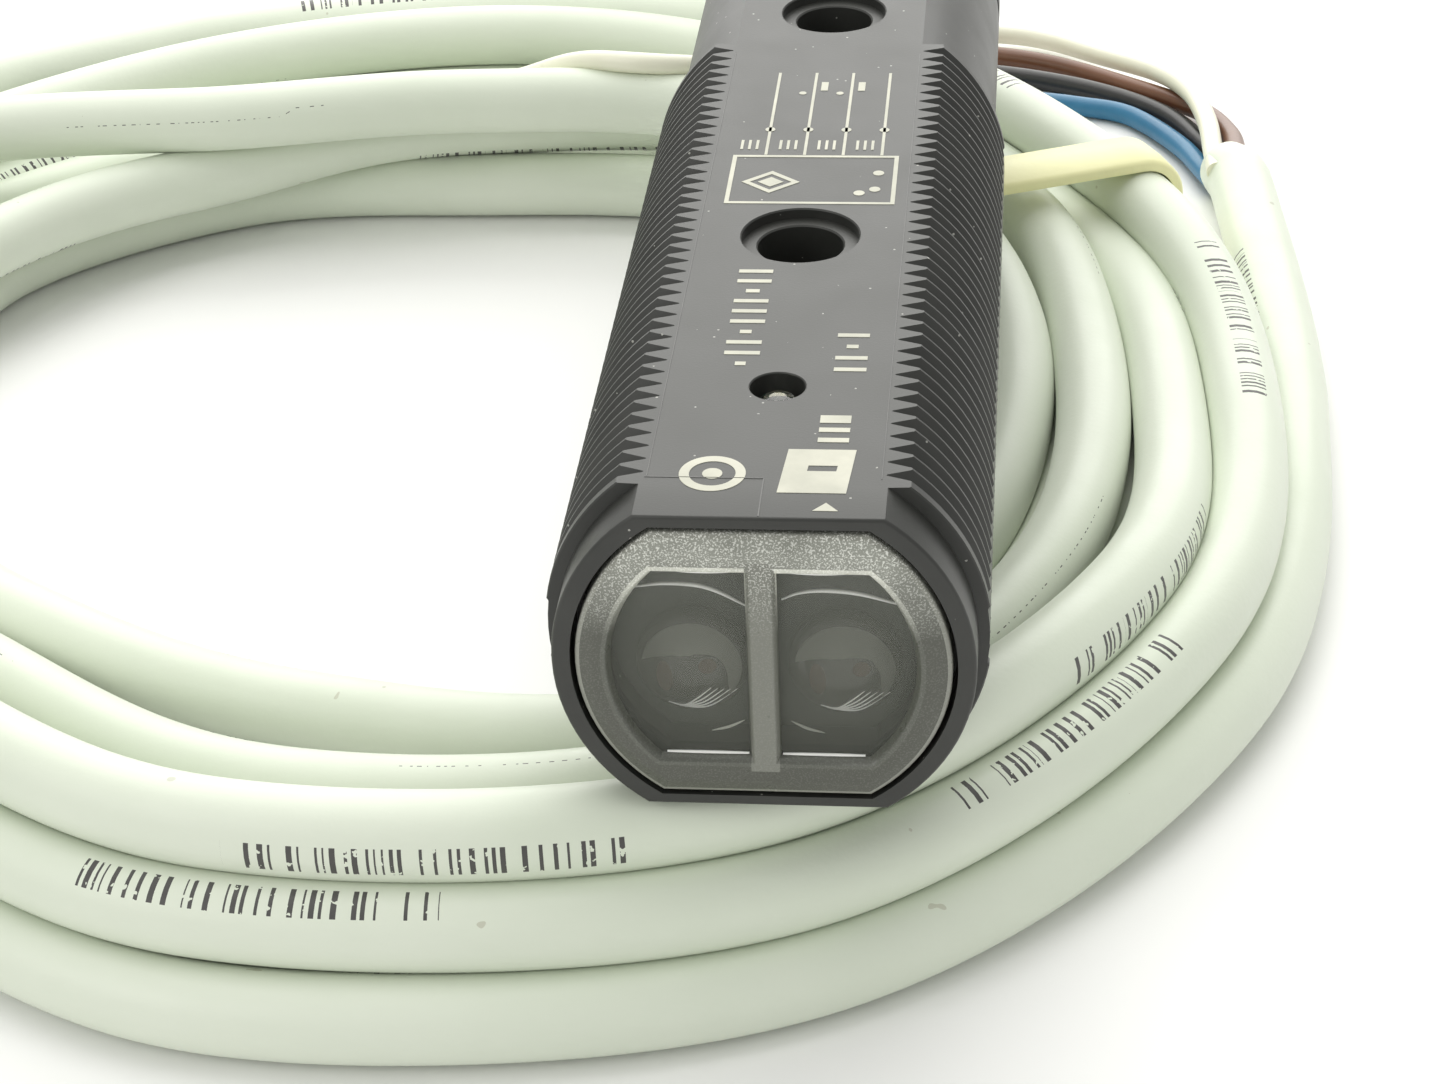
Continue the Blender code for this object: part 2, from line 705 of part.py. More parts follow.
def rear_cap():
    plug = flat_sided(PLUG_RADIUS, PLUG_HALF)
    flange = flat_sided(REAR_RADIUS, FLAT_HALF)
    bm = bmesh.new()
    add_loft(
        bm,
        [
            (PLUG_FRONT, plug),
            (FLANGE_FRONT, plug),
            (FLANGE_FRONT, flange),
            (BODY_LENGTH - 0.0028, flange),
            (BODY_LENGTH - 0.0010, flat_sided(REAR_RADIUS - 0.0004, FLAT_HALF - 0.0004)),
            (BODY_LENGTH, flat_sided(REAR_RADIUS - 0.0012, FLAT_HALF - 0.0012)),
        ],
    )
    made = add_object("rear_cap", bm, CAP_PLASTIC)
    past = 0.001
    bm = bmesh.new()
    neck = BOOT_NECK_RADIUS + GAP
    ends = [(neck, PLUG_FRONT - past), (neck, BODY_LENGTH + past)]
    add_turned(bm, ends, (CABLE_X, 0, 0), "Y", 28)
    stepped = [
        (SHAFT_RADIUS + GAP, PLUG_FRONT - past),
        (SHAFT_RADIUS + GAP, HEAD_FRONT - GAP),
        (HEAD_RADIUS + GAP, HEAD_FRONT - GAP),
        (HEAD_RADIUS + GAP, BODY_LENGTH + past),
    ]
    add_turned(bm, stepped, (ADJUSTER_X, 0, ADJUSTER_Z), "Y", 24)
    boolean(made, helper("cap_hole_cutters", bm))
    flat_sided_ring(
        "rear_seal",
        SEAL_RUBBER,
        (REAR_RADIUS - GAP, FLAT_HALF - GAP),
        (CAVITY_RADIUS, CAVITY_HALF),
        HOUSING_LENGTH + GAP,
        HOUSING_LENGTH + GAP + SEAL_THICKNESS,
    )


def strain_relief():
    """A ribbed taper with a neck through the cap, bored for the cable."""
    ribs = 3
    wide, narrow = 0.0035, 0.0027
    start = BODY_LENGTH + GAP
    step = (BOOT_BACK - start) / (ribs + 1)
    profile = [(BOOT_BORE_RADIUS, BOOT_FRONT), (BOOT_NECK_RADIUS, BOOT_FRONT)]
    profile += [(BOOT_NECK_RADIUS, start), (wide, start)]
    for i in range(1, ribs + 1):
        radius = wide + (narrow - wide) * i / (ribs + 1)
        at = start + i * step
        waist = step * 0.12
        profile += [
            (radius, at - 2 * waist),
            (radius - 0.0004, at - waist),
            (radius - 0.0004, at + waist),
            (radius, at + 2 * waist),
        ]
    profile += [(narrow, BOOT_BACK), (BOOT_BORE_RADIUS, BOOT_BACK)]
    centre = (CABLE_X, 0, 0)
    turned("strain_relief", SEAL_RUBBER, profile, centre, steps=24, closed_profile=True)
    radius = CABLE_DIAMETER / 2
    ends = [(radius, STUB_FRONT), (radius, BOOT_BACK)]
    turned("cable_in_strain_relief", CABLE_JACKET, ends, centre, steps=20)


def inner_leads():
    """The four conductors between the cable's inner end and the board's solder pads."""
    pads = {"blue": -0.0052, "white": -0.0039, "brown": -0.0026, "black": -0.0013}
    places = {"blue": (-1, -1), "white": (-1, 1), "brown": (1, 1), "black": (1, -1)}
    for colour, pad_x in pads.items():
        side, level = places[colour]
        start_x = CABLE_X + side * 0.00065
        start_z = level * 0.00065
        route = [
            (start_x, STUB_FRONT - GAP, start_z),
            (start_x, STUB_FRONT - 0.0012, start_z),
            (pad_x, 0.0568, 0.0013),
            (pad_x, 0.0554, 0.0020),
            (pad_x, 0.0538, 0.0021),
        ]
        name = "inner_lead_" + colour
        tube(name, CONDUCTOR_JACKETS[colour], route, INNER_LEAD_DIAMETER, 0.0008)


# Free cable


def coil_and_tie():
    """The coil's outer shape, with a waist where the tie goes round it, and the tie."""
    floor = FLOOR_Z
    profile = [(COIL_INNER, floor), (COIL_OUTER, floor), (COIL_OUTER, COIL_TOP), (COIL_INNER, COIL_TOP)]
    coil = turned(
        "cable_coil",
        CABLE_JACKET,
        profile,
        (COIL_X, COIL_Y, 0),
        axis="Z",
        steps=COIL_STEPS,
        closed_profile=True,
    )
    middle = (COIL_INNER + COIL_OUTER) / 2
    half = ((COIL_OUTER - COIL_INNER) / 2, (COIL_TOP - floor) / 2)
    place = (
        COIL_X + middle * math.cos(TIE_ANGLE),
        COIL_Y + middle * math.sin(TIE_ANGLE),
        (COIL_TOP + floor) / 2,
    )
    waist = [size - TIE_THICKNESS - GAP for size in half]
    past = [size + 0.002 for size in half]
    bm = bmesh.new()
    add_band(bm, waist, past, TIE_WIDTH + 2 * GAP)
    cutter = helper("tie_groove_cutter", bm, place)
    boolean(coil, cutter)
    bm = bmesh.new()
    add_band(bm, [size - TIE_THICKNESS for size in half], half, TIE_WIDTH)
    tie = add_object("coil_tie", bm, TIE_BAND, location=place, smooth=False)
    for band in (cutter, tie):
        band.rotation_euler.z = TIE_ANGLE


def tail_points():
    """Round the outside of the coil, then away from it to the end of the jacket."""
    start, end = TAIL_ARC
    points = []
    for i in range(TAIL_ARC_POINTS):
        angle = start + (end - start) * i / (TAIL_ARC_POINTS - 1)
        across, along = math.cos(angle) * TAIL_RADIUS, math.sin(angle) * TAIL_RADIUS
        points.append((COIL_X + across, COIL_Y + along, LANE_Z))
    return points + TAIL_END


def free_cable():
    spacing = CABLE_DIAMETER * 2.2
    tube("cable_run", CABLE_JACKET, CABLE_RUN, CABLE_DIAMETER, spacing)
    coil_and_tie()
    tube("cable_tail", CABLE_JACKET, tail_points(), CABLE_DIAMETER, spacing)
    for colour, route in CONDUCTOR_RUNS.items():
        finish = CONDUCTOR_JACKETS[colour]
        tube("conductor_" + colour, finish, route, CONDUCTOR_DIAMETER, CONDUCTOR_DIAMETER * 3)


housing()
front_window()
optics()
electronics()
adjuster()
rear_cap()
strain_relief()
inner_leads()
free_cable()
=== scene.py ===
"""Looks of the flat-sided photoelectric sensor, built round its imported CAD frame.

Lengths are in metres. Points marked as sensor coordinates have +Y running back from the
sensor's front face, as the CAD source has them, and place() turns them into the row frame.
"""

import math

import bmesh
import bpy
import numpy as np
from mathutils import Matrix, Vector


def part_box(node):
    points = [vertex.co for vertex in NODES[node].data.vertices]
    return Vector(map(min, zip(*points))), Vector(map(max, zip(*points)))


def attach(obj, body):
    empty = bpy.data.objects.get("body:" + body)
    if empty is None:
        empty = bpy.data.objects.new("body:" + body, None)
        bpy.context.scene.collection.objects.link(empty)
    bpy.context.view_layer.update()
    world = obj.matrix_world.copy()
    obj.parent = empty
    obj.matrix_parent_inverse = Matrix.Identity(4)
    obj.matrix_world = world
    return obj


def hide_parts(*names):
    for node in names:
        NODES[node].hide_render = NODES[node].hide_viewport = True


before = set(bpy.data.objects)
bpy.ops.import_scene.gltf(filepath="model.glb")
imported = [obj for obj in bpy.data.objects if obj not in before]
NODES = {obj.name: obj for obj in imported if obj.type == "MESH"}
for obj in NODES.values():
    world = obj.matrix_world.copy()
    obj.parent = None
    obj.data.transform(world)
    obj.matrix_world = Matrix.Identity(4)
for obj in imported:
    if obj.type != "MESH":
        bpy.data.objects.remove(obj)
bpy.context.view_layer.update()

MM = 0.001
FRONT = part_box("housing")[0].y
FLOOR_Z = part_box("cable_coil")[0].z


def place(x, y, z):
    """Sensor coordinates in millimetres, as a point of the row frame in metres."""
    return Vector((x * MM, y * MM + FRONT, z * MM))


# Camera

CAMERA_PLACE = (0.00995, -0.13974, 0.06988)
CAMERA_TURN = (57.585, 2.057, 5.142)
CAMERA_LENS = 77.34


def make_camera():
    data = bpy.data.cameras.new("camera")
    data.lens = CAMERA_LENS
    data.clip_start = 0.005
    data.clip_end = 10.0
    camera = bpy.data.objects.new("camera", data)
    camera.location = CAMERA_PLACE
    camera.rotation_euler = [math.radians(angle) for angle in CAMERA_TURN]
    bpy.context.scene.collection.objects.link(camera)
    bpy.context.scene.camera = camera


make_camera()


# Materials

NOISE_ROUGHNESS = 0.55


class Finish:
    """A node material that is built up one step at a time."""

    def __init__(self, name):
        self.material = bpy.data.materials.new(name)
        self.material.use_nodes = True
        self.tree = self.material.node_tree
        self.shader = self.tree.nodes["Principled BSDF"]
        self.coords = self.tree.nodes.new("ShaderNodeTexCoord")

    def node(self, kind, **settings):
        made = self.tree.nodes.new(kind)
        for key, value in settings.items():
            setattr(made, key, value)
        return made

    def link(self, output, target):
        self.tree.links.new(output, target)

    def set(self, **values):
        for key, value in values.items():
            self.shader.inputs[key.replace("_", " ")].default_value = value

    def noise(self, scale, detail=3.0):
        made = self.node("ShaderNodeTexNoise")
        made.inputs["Scale"].default_value = scale
        made.inputs["Detail"].default_value = detail
        made.inputs["Roughness"].default_value = NOISE_ROUGHNESS
        self.link(self.coords.outputs["Object"], made.inputs["Vector"])
        return made.outputs["Fac"]

    def attribute(self, name):
        return self.node("ShaderNodeAttribute", attribute_name=name).outputs["Fac"]

    def ramp(self, value, dark, light, start=0.3):
        """One tone turning into another about the middle of a noise's range."""
        made = self.node("ShaderNodeValToRGB")
        for element, position, colour in zip(made.color_ramp.elements, (start, 1 - start), (dark, light)):
            element.position = position
            element.color = (*colour, 1.0)
        self.link(value, made.inputs["Fac"])
        return made.outputs["Color"]

    def math(self, operation, *values):
        made = self.node("ShaderNodeMath", operation=operation)
        for socket, value in zip(made.inputs, values):
            if isinstance(value, (int, float)):
                socket.default_value = value
            else:
                self.link(value, socket)
        return made.outputs["Value"]

    def times(self, value, *others):
        for other in others:
            value = self.math("MULTIPLY", value, other)
        return value

    def mix(self, share, one, other):
        """The first colour where the share is 0 and the second where it is 1."""
        made = self.node("ShaderNodeMix", data_type="RGBA")
        self.link(share, made.inputs["Factor"])
        for socket, value in ((made.inputs["A"], one), (made.inputs["B"], other)):
            if isinstance(value, tuple):
                socket.default_value = (*value, 1.0)
            else:
                self.link(value, socket)
        return made.outputs["Result"]

    def span(self, value, low, high):
        """The middle half of a noise's range, turned into values from low to high."""
        made = self.node("ShaderNodeMapRange")
        made.inputs["To Min"].default_value = low
        made.inputs["To Max"].default_value = high
        made.inputs["From Min"].default_value = 0.25
        made.inputs["From Max"].default_value = 0.75
        self.link(value, made.inputs["Value"])
        return made.outputs["Result"]

    def colour(self, value):
        self.link(value, self.shader.inputs["Base Color"])

    def roughness(self, value, low, high):
        self.link(self.span(value, low, high), self.shader.inputs["Roughness"])

    def bump(self, height, depth, strength=1.0):
        made = self.node("ShaderNodeBump")
        made.inputs["Strength"].default_value = strength
        made.inputs["Distance"].default_value = depth
        self.link(height, made.inputs["Height"])
        self.link(made.outputs["Normal"], self.shader.inputs["Normal"])


def plain(name, dark, light, rough, grain, depth, metallic=0.0, specular=0.5):
    """Moulded or drawn material: two close tones, an uneven gloss and a fine grain."""
    made = Finish(name)
    made.set(Metallic=metallic, Specular_IOR_Level=specular)
    fine = made.noise(grain)
    broad = made.noise(grain * 0.08, detail=4.0)
    made.colour(made.ramp(broad, dark, light))
    made.roughness(broad, *rough)
    made.bump(fine, depth)
    return made


def dusty(name, dark, light, rough, specks):
    """Moulded black plastic with a fine spark-eroded grain, faint wear and pale specks."""
    made = Finish(name)
    broad = made.noise(260.0, detail=5.0)
    fine = made.noise(9000.0, detail=2.0)
    base = made.ramp(broad, dark, light)
    speck = made.node("ShaderNodeTexVoronoi")
    speck.inputs["Scale"].default_value = 1500.0
    made.link(made.coords.outputs["Object"], speck.inputs["Vector"])
    near = made.math("LESS_THAN", speck.outputs["Distance"], 0.085)
    rare = made.math("GREATER_THAN", made.noise(700.0, detail=0.0), 1.0 - specks)
    made.colour(made.mix(made.times(near, rare), base, (0.34, 0.34, 0.31)))
    made.roughness(broad, *rough)
    made.bump(fine, 0.000006, 0.7)
    return made


def cable_finish():
    """Grey-green cable jacket: soft gloss, smudges and a worn row of printed dashes."""
    made = Finish("cable_jacket")
    along = made.attribute("along")
    around = made.attribute("around")
    cloud = made.noise(55.0, detail=5.0)
    base = made.ramp(cloud, (0.700, 0.757, 0.632), (0.748, 0.796, 0.680), start=0.35)
    smudge = made.math("GREATER_THAN", made.noise(900.0, detail=1.0), 0.80)
    base = made.mix(made.times(smudge, 0.5), base, (0.42, 0.40, 0.30))
    # The row is a narrow stretch around the cable, its strokes come from noise, and they stand in groups
    row = made.math("LESS_THAN", made.math("ABSOLUTE", around), 0.34)
    stroke = made.node("ShaderNodeTexNoise", noise_dimensions="1D")
    stroke.inputs["Scale"].default_value = 3400.0
    stroke.inputs["Detail"].default_value = 0.0
    made.link(along, stroke.inputs["W"])
    stroke = made.math("GREATER_THAN", stroke.outputs["Fac"], 0.565)
    group = made.math("LESS_THAN", made.math("FRACT", made.times(along, 26.0)), 0.42)
    worn = made.math("GREATER_THAN", made.noise(2600.0, detail=2.0), 0.36)
    ink = made.times(row, stroke, group, worn, 0.96)
    made.colour(made.mix(ink, base, (0.045, 0.040, 0.042)))
    made.roughness(made.noise(420.0), 0.34, 0.50)
    made.bump(made.noise(2400.0, detail=3.0), 0.00003, 0.35)
    made.set(Specular_IOR_Level=0.42, Sheen_Weight=0.08, Sheen_Roughness=0.5)
    return made


def clear_finish(name, tint, rough, transmission=1.0, alpha=1.0):
    """Clear moulded plastic; an alpha below one is a thin, slightly hazy wall that lets light through."""
    made = Finish(name)
    made.set(Transmission_Weight=transmission, IOR=1.49, Alpha=alpha)
    cloud = made.noise(420.0, detail=4.0)
    light = tuple(min(1.0, value * 1.05) for value in tint)
    made.colour(made.ramp(cloud, tint, light))
    made.roughness(cloud, rough * 0.8, rough * 1.2)
    return made


# Each plain finish has its darker and lighter tone, its range of roughness, the fineness of its grain
# and the depth of it in metres; a dusty one has how common its specks are at the end
HOUSING = dusty("housing_plastic", (0.024, 0.025, 0.022), (0.036, 0.037, 0.033), (0.36, 0.46), 0.40)
CAP = dusty("cap_plastic", (0.021, 0.021, 0.020), (0.031, 0.031, 0.029), (0.34, 0.46), 0.36)
HOLDER = plain("holder_plastic", (0.012, 0.012, 0.013), (0.020, 0.020, 0.021), (0.45, 0.60), 5000, 1e-5)
BARRIER = plain("barrier_plastic", (0.03, 0.03, 0.032), (0.05, 0.05, 0.052), (0.5, 0.65), 5000, 1e-5)
RUBBER = plain("seal_rubber", (0.016, 0.016, 0.016), (0.027, 0.027, 0.026), (0.62, 0.80), 2600, 3e-5)
RESIN = plain("diode_resin", (0.20, 0.055, 0.040), (0.30, 0.090, 0.060), (0.10, 0.20), 900, 4e-6)
LAMINATE = plain("board_laminate", (0.012, 0.110, 0.050), (0.022, 0.160, 0.075), (0.35, 0.50), 1800, 1e-5)
EPOXY = plain("chip_epoxy", (0.018, 0.018, 0.020), (0.028, 0.028, 0.030), (0.40, 0.55), 7000, 8e-6)
TIN = plain("shield_tin", (0.56, 0.56, 0.54), (0.70, 0.70, 0.67), (0.24, 0.38), 1200, 6e-6, metallic=1.0)
SLEEVE = plain("capacitor_sleeve", (0.022, 0.038, 0.110), (0.035, 0.058, 0.160), (0.28, 0.40), 1500, 8e-6)
PACKAGE = plain("indicator_package", (0.78, 0.72, 0.46), (0.88, 0.83, 0.58), (0.28, 0.40), 2500, 6e-6)
ADJUSTER_BLUE = plain("adjuster_case", (0.028, 0.085, 0.260), (0.042, 0.120, 0.340), (0.35, 0.48), 3500, 8e-6)
NYLON = plain("adjuster_nylon", (0.70, 0.68, 0.61), (0.82, 0.80, 0.73), (0.38, 0.52), 2600, 1.2e-5)
TIE = plain("tie_band", (0.80, 0.79, 0.40), (0.90, 0.88, 0.50), (0.35, 0.50), 1400, 2e-5)
INK = plain("printed_ink", (0.46, 0.46, 0.38), (0.64, 0.63, 0.53), (0.50, 0.65), 5200, 6e-6)
TINNED = plain(
    "tinned_copper", (0.55, 0.52, 0.46), (0.72, 0.70, 0.64), (0.25, 0.40), 4000, 1e-5, metallic=1.0
)
CABLE = cable_finish()
CONDUCTOR_TONES = {
    "white": ((0.80, 0.79, 0.63), (0.88, 0.87, 0.72)),
    "brown": ((0.130, 0.052, 0.026), (0.200, 0.085, 0.042)),
    "black": ((0.018, 0.017, 0.017), (0.032, 0.030, 0.030)),
    "blue": ((0.022, 0.140, 0.270), (0.036, 0.195, 0.360)),
}
CONDUCTORS = {
    colour: plain("conductor_" + colour, *tones, (0.30, 0.42), 1800, 1.2e-5)
    for colour, tones in CONDUCTOR_TONES.items()
}
CLEAR_PANE = clear_finish("clear_pane", (0.47, 0.49, 0.42), 0.03, transmission=0.0, alpha=0.13)
CLEAR_LENS = clear_finish("clear_lens", (0.022, 0.020, 0.017), 0.08, transmission=0.0, alpha=0.85)
# Painted reflection: the pale crescent painted on each lens dome
LENS_REFLECTION = plain("painted_lens_reflection", (0.205, 0.210, 0.182), (0.260, 0.265, 0.232), (0.35, 0.50), 1800, 4e-6)
# Painted highlights: near-white and pale grey tones for the bright lines of light on the cover and the lenses
PAINTED_HIGHLIGHT = plain("painted_highlight", (0.84, 0.85, 0.82), (0.97, 0.97, 0.94), (0.15, 0.30), 2500, 2e-6)
PAINTED_SOFT_HIGHLIGHT = plain("painted_soft_highlight", (0.52, 0.53, 0.47), (0.66, 0.67, 0.60), (0.25, 0.40), 2500, 2e-6)
# Painted refraction: the diode's colour painted on each lens dome
PAINTED_DIODE_VIEW = plain("painted_diode_view", (0.092, 0.058, 0.043), (0.125, 0.076, 0.056), (0.35, 0.50), 900, 3e-6)
PARTING = plain("parting_line", (0.05, 0.05, 0.05), (0.12, 0.12, 0.115), (0.35, 0.50), 5000, 6e-6)
LIGHT_GUIDE = clear_finish("light_guide", (0.86, 0.87, 0.84), 0.08)


# Meshes

SHARP = 32


def add_object(name, mesh, finishes, smooth, sharp):
    """The mesh as an object of the scene, with its materials; edges over the sharp angle stay hard."""
    for finish in finishes:
        mesh.materials.append(finish.material)
    if smooth:
        mesh.shade_smooth()
        mesh.set_sharp_from_angle(angle=math.radians(sharp))
    made = bpy.data.objects.new(name, mesh)
    bpy.context.scene.collection.objects.link(made)
    return made


def new_object(name, points, faces, finishes, indices=None, smooth=True, sharp=SHARP):
    mesh = bpy.data.meshes.new(name)
    mesh.from_pydata([tuple(point) for point in points], [], [tuple(face) for face in faces])
    made = add_object(name, mesh, finishes, smooth, sharp)
    if indices is not None:
        mesh.polygons.foreach_set("material_index", np.array(indices, np.int32))
    return made


def from_bmesh(name, bm, finishes, smooth=True, sharp=SHARP):
    bmesh.ops.recalc_face_normals(bm, faces=bm.faces)
    mesh = bpy.data.meshes.new(name)
    bm.to_mesh(mesh)
    bm.free()
    return add_object(name, mesh, finishes, smooth, sharp)


def applied(target, cutters, operation="DIFFERENCE"):
    """The target with its cutters taken out of it, or joined to it, as one plain mesh."""
    for cutter in cutters:
        modifier = target.modifiers.new(cutter.name, "BOOLEAN")
        modifier.operation = operation
        modifier.solver = "EXACT"
        modifier.object = cutter
    graph = bpy.context.evaluated_depsgraph_get()
    mesh = bpy.data.meshes.new_from_object(target.evaluated_get(graph))
    target.modifiers.clear()
    target.data = mesh
    mesh.shade_smooth()
    mesh.set_sharp_from_angle(angle=math.radians(SHARP))
    for cutter in cutters:
        bpy.data.objects.remove(cutter, do_unlink=True)
    return target


# Cable route

DIAMETER = 3.9
RADIUS = DIAMETER / 2
CABLE_X = -2.6
BOOT_BACK = 79.0
FLOOR = FLOOR_Z / MM
LANE = FLOOR + RADIUS
LAYER = DIAMETER * math.sqrt(3) / 2
UNDERSIDE = -6.9
CABLE_STEP, CABLE_SIDES = 0.9, 28
PRINT_TURN, PRINT_START = 0.004, 0.9

# Easing the strands apart, once a round: the share of an overlap that is taken out, how hard the cable
# straightens, and how much of its shift it keeps. Points that are near along it don't push each other,
# the first ones stay in the relief, and after FREE_START it stays under the sensor
RELAX_STEP, RELAX_ROUNDS = 2.0, 300
APART_SHARE, STIFFNESS, KEPT = 0.3, 0.3, 0.98
NEIGHBOURS, HELD_START, FREE_START = 6, 4, 30

# From the strain relief round behind the sensor and down to the surface, in sensor coordinates
CABLE_RUN = [
    (CABLE_X, 78.6, 0.0), (CABLE_X, 86.2, -0.3), (-5.5, 93.8, -2.3), (-13.0, 99.5, -6.2),
    (-24.0, 100.8, -10.6), (-34.5, 98.5, -13.9), (-43.5, 94.5, LANE), (-51.0, 90.0, LANE),
    (-58.4, 80.4, LANE), (-63.4, 68.7, LANE), (-65.7, 57.2, LANE),
]

# The coil from its middle: each turn's radius at its stations, and its layer there
WIND_X, WIND_Y = -24.0, 46.0
FIRST_STATION, STATION_STEP = 180, 30
TURNS = [
    ([41, 40, 38.4, 46, 48.3, 46.6, 44.6, 43.8, 43.5, 43, 42], [0] * 11),
    ([40.3, 37.2, 36, 34.5, 42.2, 43.6, 42.4, 40.6, 39.6, 38.8, 38.3, 38], [0] * 12),
    ([37.3, 37.5, 37.5, 36.6, 44.2, 44.6, 40.6, 37.6, 38.6, 35, 30.3, 28.7], [0.3] + [1] * 11),
    (
        [29.6, 31, 31.8, 30.6, 35.7, 38.3, 38.2, 36.6, 35.2, 32, 29, 31],
        [1, 0.8, 0.3, 0.1, 0.35, 0.2, 0, 0, 0, 0, 0, 0],
    ),
    (
        [32.3, 28.8, 27.4, 26, 28.1, 33.3, 34.9, 33.9, 32.6, 29.8, 26.9, 28.2],
        [0, 0, 0, 0, 0, 0, 0.3, 1, 1.6, 2, 2, 2],
    ),
    (
        [39.5, 42, 40.5, 39.3, 45.4, 49.2, 46.2, 41.4, 41.8, 43.3, 43.9, 43.3],
        [2, 2, 2, 2, 2, 2, 1.5, 0.7, 0.3, 0.7, 1, 1],
    ),
    (
        [43.4, 43.2, 42.5, 41.2, 46.9, 51, 48.6, 44.6, 43.3, 46, 48, 48.3],
        [1, 1, 1, 1, 1, 1, 1, 1, 1.2, 1.3, 1, 1],
    ),
    ([48, 45.6, 44.3, 42.4, 48.5, 52.5, 50.7, 48.5, 54.8], [1.2, 0.3, 0, 0, 0, 0, 0, 0, 0]),
]
JACKET_END = (22.4, 78.3, LANE)


def curve_through(points, per_span=24):
    """A dense smooth curve through the points."""
    points = [np.asarray(point, float) for point in points]
    ends = [points[0] * 2 - points[1]] + points + [points[-1] * 2 - points[-2]]
    dense = []
    for before, start, end, after in zip(ends, ends[1:], ends[2:], ends[3:]):
        for i in range(per_span):
            t = i / per_span
            dense.append(
                start
                + (end - before) * (t / 2)
                + (before * 2 - start * 5 + end * 4 - after) * (t * t / 2)
                + (start * 3 - before - end * 3 + after) * (t**3 / 2)
            )
    dense.append(points[-1])
    return np.array(dense)


def lengths_along(line):
    return np.concatenate([[0], np.cumsum(np.linalg.norm(np.diff(line, axis=0), axis=1))])


def evenly(line, step):
    """The line with its points about a step apart."""
    along = lengths_along(line)
    at = np.linspace(0, along[-1], max(2, round(along[-1] / step) + 1))
    return np.stack([np.interp(at, along, values) for values in line.T], axis=1)


def coil_points():
    """The coil's turns, station by station."""
    points = []
    for radii, layers in TURNS:
        for radius, layer in zip(radii, layers):
            angle = math.radians(FIRST_STATION + len(points) * STATION_STEP)
            x = WIND_X + radius * math.cos(angle)
            y = WIND_Y + radius * math.sin(angle)
            points.append((x, y, LANE + layer * LAYER))
    return points


def settled(target):
    """The route with its strands eased apart until they lie beside and on each other."""
    one, other = np.triu_indices(len(target), k=NEIGHBOURS)
    moved = np.zeros_like(target)
    for _ in range(RELAX_ROUNDS):
        place_now = target + moved
        gap = place_now[other] - place_now[one]
        squared = (gap * gap).sum(1)
        close = squared < DIAMETER**2
        apart = np.sqrt(squared[close])
        push = ((DIAMETER - apart) * APART_SHARE / np.maximum(apart, 1e-6))[:, None] * gap[close]
        np.add.at(moved, other[close], push)
        np.add.at(moved, one[close], -push)
        moved[1:-1] += STIFFNESS * (moved[:-2] + moved[2:] - 2 * moved[1:-1])
        moved *= KEPT
        eased = target + moved
        eased[:, 2] = np.maximum(eased[:, 2], LANE)
        wound = eased[FREE_START + 1 :]
        wound[:, 2] = np.minimum(wound[:, 2], UNDERSIDE - RADIUS - 0.05)
        eased[:HELD_START] = target[:HELD_START]
        moved = eased - target
    return target + moved


def cable_route():
    points = [*CABLE_RUN, *coil_points(), JACKET_END]
    eased = settled(evenly(curve_through(points), RELAX_STEP))
    return evenly(curve_through(eased, per_span=4), CABLE_STEP)


def rings_along(line, radii, sides, turn_rate=0.0, offset=0.0):
    """Points, faces and the two measures of a tube round the line: along it and around it.

    The angle around it starts at the offset and turns by turn_rate for each millimetre.
    """
    ahead = np.gradient(line, axis=0)
    ahead /= np.linalg.norm(ahead, axis=1)[:, None]
    side = np.cross(ahead, (0, 0, 1.0))
    side /= np.linalg.norm(side, axis=1)[:, None]
    over = np.cross(side, ahead)
    turns = 2 * math.pi * np.arange(sides) / sides
    ring = side[:, None] * np.cos(turns)[None, :, None] + over[:, None] * np.sin(turns)[None, :, None]
    points = line[:, None] + ring * np.asarray(radii)[:, None, None]
    count = len(line)
    base = np.arange(count - 1)[:, None] * sides
    here = np.arange(sides)[None, :]
    after = (here + 1) % sides
    faces = np.stack([base + here, base + after, base + sides + after, base + sides + here], axis=-1)
    faces = faces.reshape(-1, 4).tolist()
    faces.append(list(range(sides))[::-1])
    faces.append([(count - 1) * sides + i for i in range(sides)])
    along = lengths_along(line)
    around = turns[None, :] - offset - turn_rate * along[:, None]
    around = (around + math.pi) % (2 * math.pi) - math.pi
    return points.reshape(-1, 3), faces, np.repeat(along, sides), around.ravel()


def add_measure(obj, name, values):
    attribute = obj.data.attributes.new(name, "FLOAT", "POINT")
    attribute.data.foreach_set("value", np.asarray(values, np.float32))


def to_row(points):
    """An array of sensor coordinates as place() would turn them."""
    return np.asarray(points) * MM + np.array((0, FRONT, 0))


def make_cable():
    line = cable_route()
    radii = np.full(len(line), RADIUS)
    radii[-1] = RADIUS - 0.25
    radii[-2] = RADIUS - 0.06
    points, faces, along, around = rings_along(line, radii, CABLE_SIDES, PRINT_TURN, PRINT_START)
    cable = new_object("signal_cable", to_row(points), faces, [CABLE], sharp=60)
    add_measure(cable, "along", along * MM)
    add_measure(cable, "around", around)
    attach(cable, "sensor")
    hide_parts("cable_run", "cable_coil", "cable_tail")
    return line


CABLE_LINE = make_cable()


# Conductors

